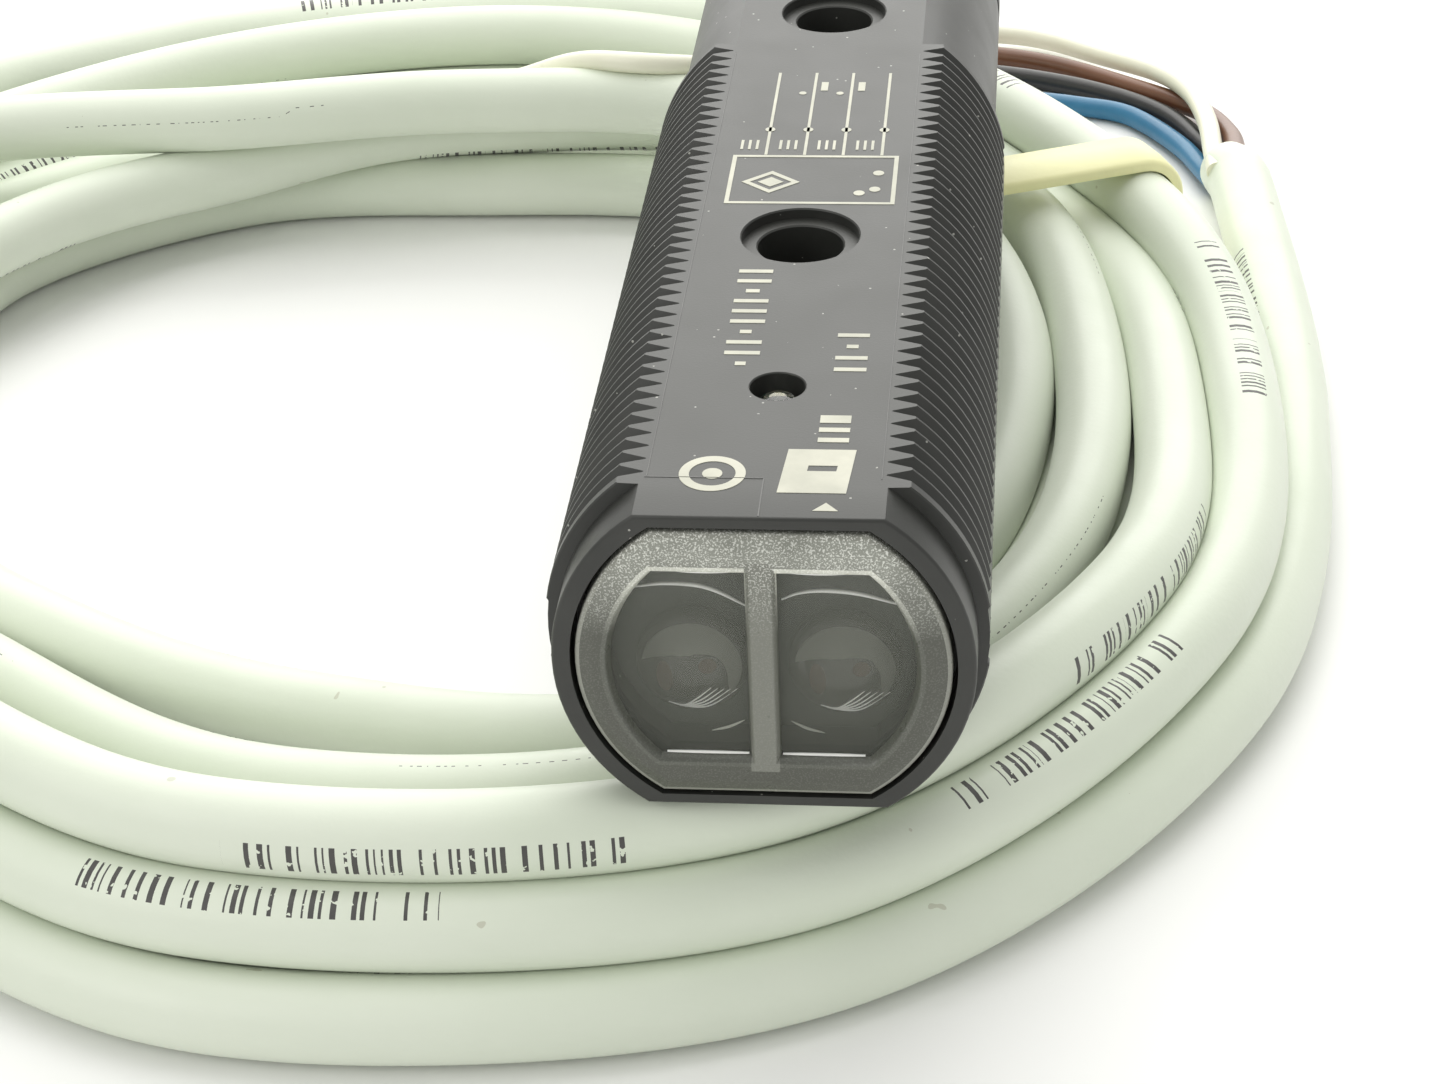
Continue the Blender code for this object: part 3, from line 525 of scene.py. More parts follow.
WIRE = 1.3
BARE = FLOOR + WIRE / 2
ON_COIL = -7.2 + 0.3 + WIRE / 2
STRIPPED = 4.0
CORE_SHARE = 0.62
WIRE_STEP, WIRE_SIDES = 0.35, 16
REST_ROUNDS, EASE_ROUNDS = 400, 30
CONDUCTOR_RUNS = {
    "white": [
        (21.7, 78.7, -14.9), (21.5, 84.0, -14.9), (20.6, 88.8, -15.0), (18.4, 93.4, -15.4),
        (14.9, 97.3, -16.3), (11.5, 100.2, BARE), (8.1, 101.2, BARE), (3.0, 100.8, BARE),
        (-1.5, 98.3, -14.0), (-4.2, 94.3, -9.8), (-5.2, 90.3, -6.5), (-5.8, 84.0, ON_COIL),
        (-7.0, 77.5, ON_COIL), (-10.5, 73.4, ON_COIL), (-15.5, 73.5, ON_COIL), (-21.0, 78.0, ON_COIL),
        (-25.2, 84.5, ON_COIL),
    ],
    "brown": [
        (23.1, 78.7, -14.9), (22.9, 83.5, -16.0), (21.2, 88.6, BARE), (16.6, 93.2, BARE),
        (11.2, 97.0, BARE), (5.0, 98.8, BARE), (-1.0, 98.8, BARE),
    ],
    "black": [
        (22.9, 78.7, -16.4), (21.4, 83.6, BARE), (19.0, 88.6, BARE), (14.6, 92.4, BARE),
        (8.5, 95.0, BARE), (1.5, 96.0, BARE), (-5.5, 95.6, BARE),
    ],
    "blue": [
        (21.4, 78.7, -16.4), (19.8, 83.6, BARE), (16.8, 88.4, BARE), (13.5, 90.0, BARE),
        (10.0, 90.9, BARE), (5.0, 91.6, BARE), (0.0, 92.0, BARE),
    ],
}


def rested(line, laid):
    """The conductor let down until it lies on what is already there, with a stiff wire's bridging.

    laid has the centrelines that are there and how far the conductor's own stays from each.
    """
    support = np.full(len(line), BARE)
    for below, reach in laid:
        for i, point in enumerate(line):
            flat = ((below[:, :2] - point[:2]) ** 2).sum(1)
            under = flat < reach**2
            tops = below[under, 2] + np.sqrt(reach**2 - flat[under])
            tops = tops[tops < point[2] + reach]
            if len(tops):
                support[i] = max(support[i], tops.max())
    start = min(6, len(line) // 4)
    height = np.minimum(line[:, 2], np.maximum(support, BARE))
    height[:start] = line[:start, 2]
    for turn in range(REST_ROUNDS + EASE_ROUNDS):
        height[1:-1] = 0.5 * height[1:-1] + 0.25 * (height[:-2] + height[2:])
        if turn < REST_ROUNDS:
            height[start:] = np.maximum(height[start:], support[start:])
            height[:start] = line[:start, 2]
    done = line.copy()
    done[:, 2] = height
    return done


def make_conductors():
    laid = [(CABLE_LINE[:-8], RADIUS + WIRE / 2)]
    for colour in ("blue", "black", "brown", "white"):
        run = [np.array(point) for point in CONDUCTOR_RUNS[colour]]
        run.insert(0, run[0] - (run[1] - run[0]) * 0.5)
        line = rested(evenly(curve_through(run), 0.5), laid)
        line = evenly(curve_through(line, per_span=3), WIRE_STEP)
        laid.append((line, WIRE + 0.05))
        along = lengths_along(line)
        left = along[-1] - along
        radii = np.where(left < STRIPPED, WIRE / 2 * CORE_SHARE, WIRE / 2)
        radii[-1] *= 0.6
        points, faces, _, _ = rings_along(line, radii, WIRE_SIDES)
        bare = np.repeat(left[:-1] < STRIPPED, WIRE_SIDES).astype(int).tolist() + [0, 1]
        name = "conductor_wire_" + colour
        wire = new_object(name, to_row(points), faces, [CONDUCTORS[colour], TINNED], bare, sharp=50)
        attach(wire, "sensor")
        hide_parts("conductor_" + colour)


make_conductors()


# Outlines of the sensor's section, as (x, z) in millimetres

FLAT_HALF = 6.9
BAND_ANGLE = math.radians(8.2)
BAND_STEP_ANGLE = math.radians(0.7)


def flat_sided(radius, half, band_radius=None, steps=12):
    """A circle cut flat above and below, with a smooth band up the middle of each side."""
    edge = math.asin(half / radius)
    start = BAND_ANGLE + BAND_STEP_ANGLE
    upper = [BAND_ANGLE * 0.5, BAND_ANGLE]
    upper += [start + (edge - start) * i / steps for i in range(steps + 1)]
    angles = [-angle for angle in reversed(upper)] + [0.0] + upper
    points = []
    for turn in (0.0, math.pi):
        for angle in angles:
            in_band = abs(angle) <= BAND_ANGLE + 1e-9
            reach = band_radius if in_band and band_radius else radius
            points.append((reach * math.cos(angle + turn), reach * math.sin(angle + turn)))
    return points


def add_loft(bm, sections):
    """A closed body through (y, outline) sections with the same number of points."""
    rings = [[bm.verts.new(place(x, y, z)) for x, z in outline] for y, outline in sections]
    bm.faces.new(rings[0])
    bm.faces.new(reversed(rings[-1]))
    for near, far in zip(rings, rings[1:]):
        for i, corner in enumerate(near):
            after = (i + 1) % len(near)
            bm.faces.new((corner, far[i], far[after], near[after]))


def add_turned(bm, profile, centre, axis, steps=64, closed_profile=False):
    """A body turned round the Y or Z axis through centre, from (radius, height) pairs."""
    rings = []
    for radius, height in profile:
        ring = []
        for i in range(1 if radius == 0 else steps):
            turn = 2 * math.pi * i / steps
            across, beside = radius * math.cos(turn), radius * math.sin(turn)
            offset = (beside, height, across) if axis == "Y" else (across, beside, height)
            ring.append(bm.verts.new(place(*(a + b for a, b in zip(centre, offset)))))
        rings.append(ring)
    pairs = list(zip(rings, rings[1:]))
    if closed_profile:
        pairs.append((rings[-1], rings[0]))
    else:
        for ring in (rings[0], rings[-1]):
            if len(ring) > 1:
                bm.faces.new(ring)
    for low, high in pairs:
        for i in range(steps):
            after = (i + 1) % steps
            corners = [low[i % len(low)], low[after % len(low)]]
            corners += [high[after % len(high)], high[i % len(high)]]
            bm.faces.new(list(dict.fromkeys(corners)))


def quarter(steps=4):
    """A quarter round as shares: how far each of its rows still has to go, and how far it has curved."""
    for i in range(steps + 1):
        angle = math.pi / 2 * i / steps
        yield 1 - math.sin(angle), 1 - math.cos(angle)


# Housing

CREST, ROOT, COLLAR, REAR, BAND = 9.0, 8.39, 8.45, 8.35, 8.9
THREAD_START, THREAD_END, HOUSING_LENGTH = 2.45, 45.2, 64.0
FIRST_ROOT, PITCH, GROOVES = 3.35, 1.0, 42
HOLES = (23.95, 49.35)
INDICATOR_Y = 10.25
SEAT, SEAT_HALF, SEAT_DEPTH = 7.7, 6.4, 2.25
CAVITY, CAVITY_HALF = 7.0, 5.5
RIM_ROUND = 0.15
HOLE, COUNTERBORE, COUNTERBORE_FLOOR, HOLE_EDGE = 1.93, 2.65, 6.4, 0.07
POST, POST_HALF = 3.15, 6.2
GUIDE = 1.15

# A groove's section: how far from its middle, and how much of its depth is reached there
GROOVE = ((-0.44, 0.0), (-0.40, 0.05), (-0.05, 0.96), (0.0, 1.0), (0.05, 0.96), (0.40, 0.05), (0.44, 0.0))


def thread_sections():
    """The crests and grooves as (y, radius); the flats and the side bands interrupt them."""
    yield THREAD_START, CREST - 0.06
    yield THREAD_START + 0.05, CREST
    for i in range(GROOVES):
        middle = FIRST_ROOT + i * PITCH
        for offset, depth in GROOVE:
            yield middle + offset, CREST - (CREST - ROOT) * depth
    yield THREAD_END - 0.05, CREST
    yield THREAD_END, CREST - 0.06


def make_housing():
    """The threaded shell, hollow inside, with a post round each of its cross holes."""
    sections = []
    for inset, back in quarter():
        radius, half = COLLAR - RIM_ROUND * inset, FLAT_HALF - RIM_ROUND * inset
        sections.append((RIM_ROUND * back, flat_sided(radius, half)))
    sections.append((THREAD_START - 0.05, flat_sided(COLLAR, FLAT_HALF)))
    sections += [(y, flat_sided(radius, FLAT_HALF, BAND)) for y, radius in thread_sections()]
    sections += [(y, flat_sided(REAR, FLAT_HALF)) for y in (THREAD_END + 0.05, HOUSING_LENGTH - 0.1)]
    sections.append((HOUSING_LENGTH, flat_sided(REAR - 0.1, FLAT_HALF - 0.1)))
    bm = bmesh.new()
    add_loft(bm, sections)
    shell = from_bmesh("housing_shell", bm, [HOUSING])
    bm = bmesh.new()
    seat, cavity = flat_sided(SEAT, SEAT_HALF), flat_sided(CAVITY, CAVITY_HALF)
    add_loft(bm, [(-1.0, seat), (SEAT_DEPTH, seat), (SEAT_DEPTH + 0.02, cavity), (65.0, cavity)])
    hollow = from_bmesh("hollow", bm, [HOUSING])
    bm = bmesh.new()
    for y in HOLES:
        add_turned(bm, [(POST, -POST_HALF), (POST, POST_HALF)], (0, y, 0), "Z")
    posts = from_bmesh("posts", bm, [HOUSING])
    bm = bmesh.new()
    stepped = [
        (COUNTERBORE + 0.4, -FLAT_HALF - 0.4),
        (COUNTERBORE, -FLAT_HALF + HOLE_EDGE),
        (COUNTERBORE, -COUNTERBORE_FLOOR),
        (HOLE + HOLE_EDGE, -COUNTERBORE_FLOOR),
        (HOLE, -COUNTERBORE_FLOOR + HOLE_EDGE),
    ]
    stepped += [(radius, -height) for radius, height in reversed(stepped)]
    for y in HOLES:
        add_turned(bm, stepped, (0, y, 0), "Z")
    indicator = [(GUIDE, 5.0), (GUIDE, FLAT_HALF - 0.05), (GUIDE + 0.05, FLAT_HALF), (GUIDE + 0.35, 7.2)]
    add_turned(bm, indicator, (0, INDICATOR_Y, 0), "Z")
    holes = from_bmesh("holes", bm, [HOUSING])
    applied(shell, [hollow])
    applied(shell, [posts], "UNION")
    applied(shell, [holes])
    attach(shell, "sensor")
    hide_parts("housing")


make_housing()


# Front cover and what shows through it

COVER, COVER_HALF, COVER_BACK, PROUD = 7.5, 6.2, 1.25, 0.25
WINDOW, WINDOW_HALF, PANE_FACE = 6.12, 4.43, 0.15
BAR_HALF, BAR_FOOT = 0.58, 0.55
LEDGE_WIDE, EDGE_WIDE = 0.33, 0.20
# Heights on the cover over which its painted light goes from dark to pale
DARK_BELOW, PALE_ABOVE = 1.5, 5.2
FROSTED, SEE_THROUGH = 0, 1
LENS_X, LENS_Z, LENS_RADIUS = 3.1, -1.5, 2.3
DOME_TOP, DOME_EDGE, DOME_BACK = 1.55, 2.30, 3.00
TUBE_STEP, TUBE_SIDES = 0.12, 8
FAN_HIGHLIGHTS, FAN_HIGHLIGHT_RADIUS = 5, 0.034
REFLECTION_OUTER, REFLECTION_STEPS, REFLECTION_ROWS = 2.04, 48, 6
PATCH_SIDES = 24
ARCH_Y = 1.36

# Painted highlights: the bright arches behind the cover and the feet below them, as (x, z)
ARCHES = {
    "left": [(-5.3, 2.75), (-4.0, 2.95), (-2.7, 2.90), (-1.8, 2.60), (-0.7, 1.95)],
    "right": [(0.7, 2.30), (1.4, 2.62), (2.4, 2.75), (3.8, 2.62), (5.4, 2.15)],
}
FOOT = [(2.3, -4.15), (1.6, -3.95), (0.95, -3.60)]

# The inner edge of the painted reflection on each lens, a pale crescent, as (angle in degrees, radius)
CRESCENT = [
    (172, 1.98), (150, 1.30), (120, 0.86), (90, 0.80), (60, 1.00),
    (30, 1.28), (0, 1.42), (-25, 1.60), (-42, 1.98),
]

# Painted refraction: where the diode is painted on a lens, how far across and up, and half its width and
# height
DIODE_PATCHES = {"left": (-1.08, -0.30, 0.34, 0.78), "right": (0.70, 0.32, 0.36, 0.34)}


def half_window(side, grow=0.0, steps=12):
    """One of the two windows: the flat-sided outline, up to the bar."""
    radius, half = WINDOW + grow, WINDOW_HALF + grow
    edge = math.asin(half / radius)
    angles = [-edge + 2 * edge * i / (2 * steps) for i in range(2 * steps + 1)]
    points = [(side * radius * math.cos(a), radius * math.sin(a)) for a in angles]
    bar = side * (BAR_HALF - grow)
    return points + [(bar, half), (bar, -half)]


def frost_and_painted_light():
    """Frosted clear plastic over a dark inside, with painted light: painted highlights on the ledge and outer
    edge, a lighter bar, painted light that grows towards the top, and painted glints.
    """
    made = Finish("cover_frost_painted_light")
    split = made.node("ShaderNodeSeparateXYZ")
    made.link(made.coords.outputs["Object"], split.inputs["Vector"])
    x, z = split.outputs["X"], split.outputs["Z"]
    tall = made.math("ABSOLUTE", z)
    reach = made.math("SQRT", made.math("ADD", made.times(x, x), made.times(z, z)))

    def beyond(radius, half):
        """How far a spot is outside the flat-sided outline."""
        past_round = made.math("SUBTRACT", reach, radius * MM)
        return made.math("MAXIMUM", past_round, made.math("SUBTRACT", tall, half * MM))

    # Painted highlights: the ledge round each window and the cover's outer edge are lighter
    ledge = made.math("LESS_THAN", beyond(WINDOW, WINDOW_HALF), LEDGE_WIDE * MM)
    edge = made.math("GREATER_THAN", beyond(COVER, COVER_HALF), -EDGE_WIDE * MM)
    in_bar = made.math("LESS_THAN", made.math("ABSOLUTE", x), BAR_HALF * MM)
    bar = made.times(in_bar, made.math("LESS_THAN", tall, (WINDOW_HALF + BAR_FOOT) * MM))
    # Painted light: darker low on the cover and paler towards its top
    height = made.node("ShaderNodeMapRange")
    height.inputs["From Min"].default_value = DARK_BELOW * MM
    height.inputs["From Max"].default_value = PALE_ABOVE * MM
    made.link(z, height.inputs["Value"])
    cloud = made.noise(500.0, detail=4.0)
    painted_top_light = made.times(height.outputs["Result"], made.math("ADD", cloud, 0.35))
    base = made.mix(painted_top_light, (0.075, 0.078, 0.062), (0.31, 0.32, 0.28))
    base = made.mix(ledge, base, made.mix(painted_top_light, (0.100, 0.105, 0.086), (0.78, 0.79, 0.70)))
    base = made.mix(edge, base, (0.25, 0.255, 0.22))
    base = made.mix(bar, base, (0.195, 0.200, 0.172))
    # Painted glints: white flecks, more of them towards the top
    painted_glint = made.math("GREATER_THAN", made.noise(13000.0, detail=2.0), 0.56)
    share = made.times(painted_glint, made.math("ADD", made.times(painted_top_light, 0.6), 0.04))
    made.colour(made.mix(share, base, (0.95, 0.96, 0.90)))
    made.roughness(cloud, 0.24, 0.36)
    made.bump(made.noise(6000.0, detail=2.0), 0.000012, 0.6)
    made.set(Specular_IOR_Level=0.6)
    return made


COVER_FROST_AND_LIGHT = frost_and_painted_light()


def make_cover():
    """The clear cover with its two windows sunk into it; their panes can be seen through."""
    sections = [
        (-PROUD, COVER - 0.75, COVER_HALF - 0.80),
        (-PROUD + 0.03, COVER - 0.62, COVER_HALF - 0.66),
        (-0.06, COVER - 0.16, COVER_HALF - 0.16),
        (-0.01, COVER - 0.06, COVER_HALF - 0.06),
        (0.06, COVER - 0.01, COVER_HALF - 0.01),
        (0.12, COVER, COVER_HALF),
        (COVER_BACK, COVER, COVER_HALF),
    ]
    bm = bmesh.new()
    add_loft(bm, [(y, flat_sided(radius, half)) for y, radius, half in sections])
    cover = from_bmesh("clear_front_cover", bm, [COVER_FROST_AND_LIGHT, CLEAR_PANE])
    rows = [(-1.0, 0.30), (-0.30, 0.22), (-PROUD + 0.05, 0.10), (PANE_FACE - 0.08, 0.0), (PANE_FACE, -0.05)]
    cutters = []
    for side in (-1, 1):
        bm = bmesh.new()
        add_loft(bm, [(y, half_window(side, grow)) for y, grow in rows])
        cutters.append(from_bmesh("window_cut", bm, [COVER_FROST_AND_LIGHT]))
    applied(cover, cutters)
    for face in cover.data.polygons:
        back = (face.center.y - FRONT) / MM
        on_pane = min(abs(back - PANE_FACE), abs(back - COVER_BACK)) < 0.02
        face.material_index = SEE_THROUGH if on_pane and abs(face.normal.y) > 0.97 else FROSTED
    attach(cover, "sensor")
    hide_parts("front_window")


def dome_y(radius):
    """How far back the dome's surface is, at a distance from its middle."""
    return DOME_TOP + (DOME_EDGE - DOME_TOP) * min(1.0, radius / LENS_RADIUS) ** 2


def on_dome(side, x, z, lift):
    """A spot just in front of a dome, in sensor coordinates, from its place about the dome's middle."""
    return side * LENS_X + x, dome_y(math.hypot(x, z)) - lift, LENS_Z + z


def make_lens(name, side):
    bm = bmesh.new()
    profile = [(LENS_RADIUS * i / 20, dome_y(LENS_RADIUS * i / 20)) for i in range(20)]
    profile += [(LENS_RADIUS - 0.04, DOME_EDGE - 0.01), (LENS_RADIUS, DOME_EDGE + 0.05)]
    profile.append((LENS_RADIUS, DOME_BACK))
    add_turned(bm, profile, (side * LENS_X, 0, LENS_Z), "Y")
    lens = from_bmesh(name + "_dome", bm, [CLEAR_LENS], sharp=40)
    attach(lens, "sensor")
    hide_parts(name + "_lens")


def tube(name, points, radius, finish, taper):
    """A thin round bar through the points, in sensor coordinates; taper is what its ends lose."""
    line = evenly(curve_through(points, per_span=10), TUBE_STEP)
    share = np.linspace(0, 1, len(line))
    radii = radius * (1 - taper * (2 * share - 1) ** 2)
    points, faces, _, _ = rings_along(line, radii, TUBE_SIDES)
    made = new_object(name, to_row(points), faces, [finish], sharp=60)
    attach(made, "sensor")


def make_crescent(name, side):
    """Painted reflection: a pale crescent over the upper half of each lens."""
    angles = [angle for angle, _ in CRESCENT]
    inner = [radius for _, radius in CRESCENT]
    bm = bmesh.new()
    rows = []
    for i in range(REFLECTION_STEPS + 1):
        angle = angles[0] + (angles[-1] - angles[0]) * i / REFLECTION_STEPS
        low = float(np.interp(-angle, [-a for a in angles], inner))
        row = []
        for j in range(REFLECTION_ROWS + 1):
            radius = low + (REFLECTION_OUTER - low) * j / REFLECTION_ROWS
            x, z = radius * math.cos(math.radians(angle)), radius * math.sin(math.radians(angle))
            row.append(bm.verts.new(place(*on_dome(side, x, z, 0.012))))
        rows.append(row)
    for one, other in zip(rows, rows[1:]):
        for j in range(REFLECTION_ROWS):
            bm.faces.new((one[j], one[j + 1], other[j + 1], other[j]))
    bmesh.ops.solidify(bm, geom=bm.faces[:], thickness=0.008 * MM)
    made = from_bmesh(name + "_painted_reflection", bm, [LENS_REFLECTION], sharp=60)
    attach(made, "sensor")


def make_diode_patch(name, side, part):
    """A soft oval painted on the dome: painted refraction of the diode behind it."""
    beside, above, across, tall = DIODE_PATCHES[part]
    bm = bmesh.new()
    rings = []
    for share in (0.0, 0.5, 1.0):
        ring = []
        for i in range(1 if share == 0 else PATCH_SIDES):
            turn = 2 * math.pi * i / PATCH_SIDES
            x, z = beside + share * across * math.cos(turn), above + share * tall * math.sin(turn)
            ring.append(bm.verts.new(place(*on_dome(side, x, z, 0.010))))
        rings.append(ring)
    middle, inner, outer = rings
    for i in range(PATCH_SIDES):
        after = (i + 1) % PATCH_SIDES
        bm.faces.new((middle[0], inner[i], inner[after]))
        bm.faces.new((inner[i], outer[i], outer[after], inner[after]))
    bmesh.ops.solidify(bm, geom=bm.faces[:], thickness=0.006 * MM)
    painted_diode_patch = from_bmesh(f"{name}_glow_{part}", bm, [PAINTED_DIODE_VIEW], sharp=60)
    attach(painted_diode_patch, "sensor")


def make_fan_highlights(name, side):
    """Painted highlights: bright lines low on a lens, which start together at its foot and fan out to the
    right.
    """
    for i in range(FAN_HIGHLIGHTS):
        share = i / (FAN_HIGHLIGHTS - 1)
        path = (
            (-1.02, -1.80),
            (-0.35, -1.98 + 0.10 * share),
            (0.66 - 0.42 * share, -1.96 + 0.62 * share),
            (1.82 - 1.02 * share, -1.12 + 0.34 * share),
        )
        arc = [on_dome(side, x, z, 0.04) for x, z in path]
        tube(f"{name}_fan_highlight_{i + 1}", arc, FAN_HIGHLIGHT_RADIUS, PAINTED_HIGHLIGHT, taper=0.7)


def make_glints():
    """Painted highlights on the cover: behind it, above and below its windows, and along its bar."""
    for name, points in ARCHES.items():
        tube("cover_arch_highlight_" + name, [(x, ARCH_Y, z) for x, z in points], 0.090, PAINTED_HIGHLIGHT, taper=0.6)
    y, z = PANE_FACE - 0.02, WINDOW_HALF - 0.10
    for side, name in ((-1, "left"), (1, "right")):
        low = [(side * x, y, -z) for x in (BAR_HALF + 0.1, 2.2, 4.0)]
        tube("window_ledge_highlight_" + name, low, 0.070, PAINTED_HIGHLIGHT, taper=0.3)
        high = [(side * x, y, z) for x in (BAR_HALF + 0.5, 1.8, 3.4)]
        tube("window_glint_" + name, high, 0.060, PAINTED_HIGHLIGHT, taper=0.9)
        heights = (WINDOW_HALF + 0.1, 0.0, -WINDOW_HALF - 0.5)
        upright = [(side * (BAR_HALF - 0.06), -PROUD, height) for height in heights]
        tube("bar_edge_highlight_" + name, upright, 0.070, PAINTED_SOFT_HIGHLIGHT, taper=0.2)
        foot = [(side * x, ARCH_Y, height) for x, height in FOOT]
        tube("cover_foot_highlight_" + name, foot, 0.060, PAINTED_SOFT_HIGHLIGHT, taper=0.8)


make_cover()
for lens_name, lens_side in (("emitter", -1), ("receiver", 1)):
    make_lens(lens_name, lens_side)
    make_crescent(lens_name, lens_side)
    make_fan_highlights(lens_name, lens_side)
    for patch_part in DIODE_PATCHES:
        make_diode_patch(lens_name, lens_side, patch_part)
make_glints()


# Marks on the upper flat: plain bars, rings and a wiring symbol with no lettering

MARK_LIFT = 0.018


def add_band(bm, one, other):
    """Faces between two closed rows of corners."""
    for i in range(len(one)):
        after = (i + 1) % len(one)
        bm.faces.new((one[i], one[after], other[after], other[i]))


def add_plate(bm, outline, hole=None):
    """A thin printed patch on the flat, from (x, y) points; hole has as many points."""
    low, high = FLAT_HALF - 0.01, FLAT_HALF + MARK_LIFT
    rings = []
    for loop in (outline, hole):
        if loop:
            rings.append([[bm.verts.new(place(x, y, z)) for x, y in loop] for z in (low, high)])
    outer_low, outer_high = rings[0]
    if hole:
        inner_low, inner_high = rings[1]
        walls = [outer_low, outer_high, inner_high, inner_low, outer_low]
    else:
        walls = [outer_low, outer_high]
        bm.faces.new(outer_high)
        bm.faces.new(reversed(outer_low))
    for one, other in zip(walls, walls[1:]):
        add_band(bm, one, other)


def rectangle(x, y, width, length, lean=0.0):
    """A rectangle from its middle; lean slides its far end sideways."""
    return [
        (x - width / 2 - lean, y - length / 2),
        (x + width / 2 - lean, y - length / 2),
        (x + width / 2 + lean, y + length / 2),
        (x - width / 2 + lean, y + length / 2),
    ]


def arc_points(x, y, radius, start, end, steps):
    turns = [math.radians(start + (end - start) * i / steps) for i in range(steps + 1)]
    return [(x + radius * math.cos(turn), y + radius * math.sin(turn)) for turn in turns]


def add_dot(bm, x, y, radius, corners=16):
    add_plate(bm, arc_points(x, y, radius, 0, 360 - 360 / corners, corners - 1))


def add_marks(bm):
    # Supply row: a scale of bars
    for i, length in enumerate((0.45, 1.5, 1.5, 0.5, 1.5, 1.5, 1.5, 0.6, 1.5, 1.5)):
        add_plate(bm, rectangle(-1.70, 12.1 + i * 0.92, length, 0.30))
    # Range row
    for i, length in enumerate((1.35, 1.35, 0.5, 1.35)):
        add_plate(bm, rectangle(2.90, 11.7 + i * 0.98, length, 0.30))
    # Left front: a ring with a dot in it
    add_plate(bm, arc_points(-2.05, 3.25, 1.32, 0, 360, 48) + arc_points(-2.05, 3.25, 0.92, 360, 0, 48))
    add_dot(bm, -2.05, 3.25, 0.40, corners=24)
    # Right front: a frame with a slot in it, bars behind it and a triangle before it
    add_plate(bm, rectangle(2.05, 3.55, 2.70, 3.30, 0.12), rectangle(2.25, 3.75, 1.15, 0.42, 0.02))
    for y, thick in ((5.95, 0.34), (6.75, 0.34), (7.60, 0.60)):
        add_plate(bm, rectangle(2.55, y, 1.25, thick))
    add_plate(bm, [(2.05, 0.60), (3.05, 0.60), (2.55, 1.20)])
    # Wiring symbol: a box with a diamond and dots in it, and four leads
    add_plate(bm, rectangle(0.17, 29.6, 7.80, 5.10), rectangle(0.17, 29.6, 7.40, 4.70))
    add_plate(
        bm,
        [(-3.10, 29.3), (-1.75, 28.15), (-0.40, 29.3), (-1.75, 30.45)],
        [(-2.72, 29.3), (-1.75, 28.48), (-0.78, 29.3), (-1.75, 30.12)],
    )
    add_plate(bm, [(-2.35, 29.3), (-1.75, 28.8), (-1.15, 29.3), (-1.75, 29.8)])
    for x, y in ((2.40, 28.2), (3.10, 28.6), (3.20, 30.3)):
        add_dot(bm, x, y, 0.26)
    for i in range(4):
        x = -2.20 + 1.82 * i
        add_plate(bm, rectangle(x, 36.9, 0.14, 9.4))
        add_dot(bm, x, 35.0, 0.24)
        if i in (1, 2):
            add_dot(bm, x - 0.55, 39.2, 0.18)
            add_plate(bm, rectangle(x + 0.48, 40.0, 0.34, 1.0))
        for j in range(3):
            add_plate(bm, rectangle(x - 1.20 + 0.36 * j, 33.3, 0.13, 1.0))


def make_marks():
    bm = bmesh.new()
    add_marks(bm)
    marks = from_bmesh("printed_marks", bm, [INK], smooth=False)
    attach(marks, "sensor")


def make_parting_lines():
    """Where the mould's halves and its front insert met: fine ridges on the flat."""
    bm = bmesh.new()
    for x in (-4.62, 4.62):
        add_plate(bm, rectangle(x, 23.5, 0.035, 41.0))
    add_plate(bm, rectangle(-2.35, 2.95, 4.7, 0.045))
    add_plate(bm, rectangle(0.0, 1.55, 0.05, 2.8))
    lines = from_bmesh("parting_lines", bm, [PARTING], smooth=False)
    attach(lines, "sensor")


make_marks()
make_parting_lines()


# Tie round the coil

TIE_TURN = math.radians(25.5)
TIE_OUT = np.array((math.cos(TIE_TURN), math.sin(TIE_TURN)))
TIE_SIDE = np.array((-TIE_OUT[1], TIE_OUT[0]))
TIE_WIDTH = 3.8
TIE_STEPS = 120
NEAREST_STRAND, TAIL_INSIDE = 20.0, 47.0


def hull(points):
    """The convex outline round the points, anticlockwise."""
    points = sorted(map(tuple, points))
    chain = []
    for ordered in (points, points[::-1]):
        half = []
        for point in ordered:
            while len(half) > 1:
                (ax, ay), (bx, by) = half[-2], half[-1]
                if (bx - ax) * (point[1] - ay) - (by - ay) * (point[0] - ax) > 0:
                    break
                half.pop()
            half.append(point)
        chain += half[:-1]
    return chain


def bundle_outline(clearance):
    """The outline round the coil's strands in the tie's plane, as (out, z) from the ring's axis."""
    flat = CABLE_LINE[:, :2] - np.array((WIND_X, WIND_Y))
    beyond = flat @ TIE_SIDE
    reach = flat @ TIE_OUT
    bundled = (reach[1:] > NEAREST_STRAND) & (reach[1:] < TAIL_INSIDE)
    crossing = np.nonzero((beyond[:-1] * beyond[1:] < 0) & bundled)[0]
    turns = np.linspace(0, 2 * math.pi, 40, endpoint=False)
    radius = RADIUS + clearance
    around = []
    for i in crossing:
        for turn in turns:
            around.append((reach[i] + radius * math.cos(turn), CABLE_LINE[i, 2] + radius * math.sin(turn)))
    outline = np.array(hull(around))
    outline[:, 1] = np.maximum(outline[:, 1], FLOOR + 0.02)
    closed = np.vstack([outline, outline[:1]])
    return evenly(closed, lengths_along(closed)[-1] / TIE_STEPS)[:-1]


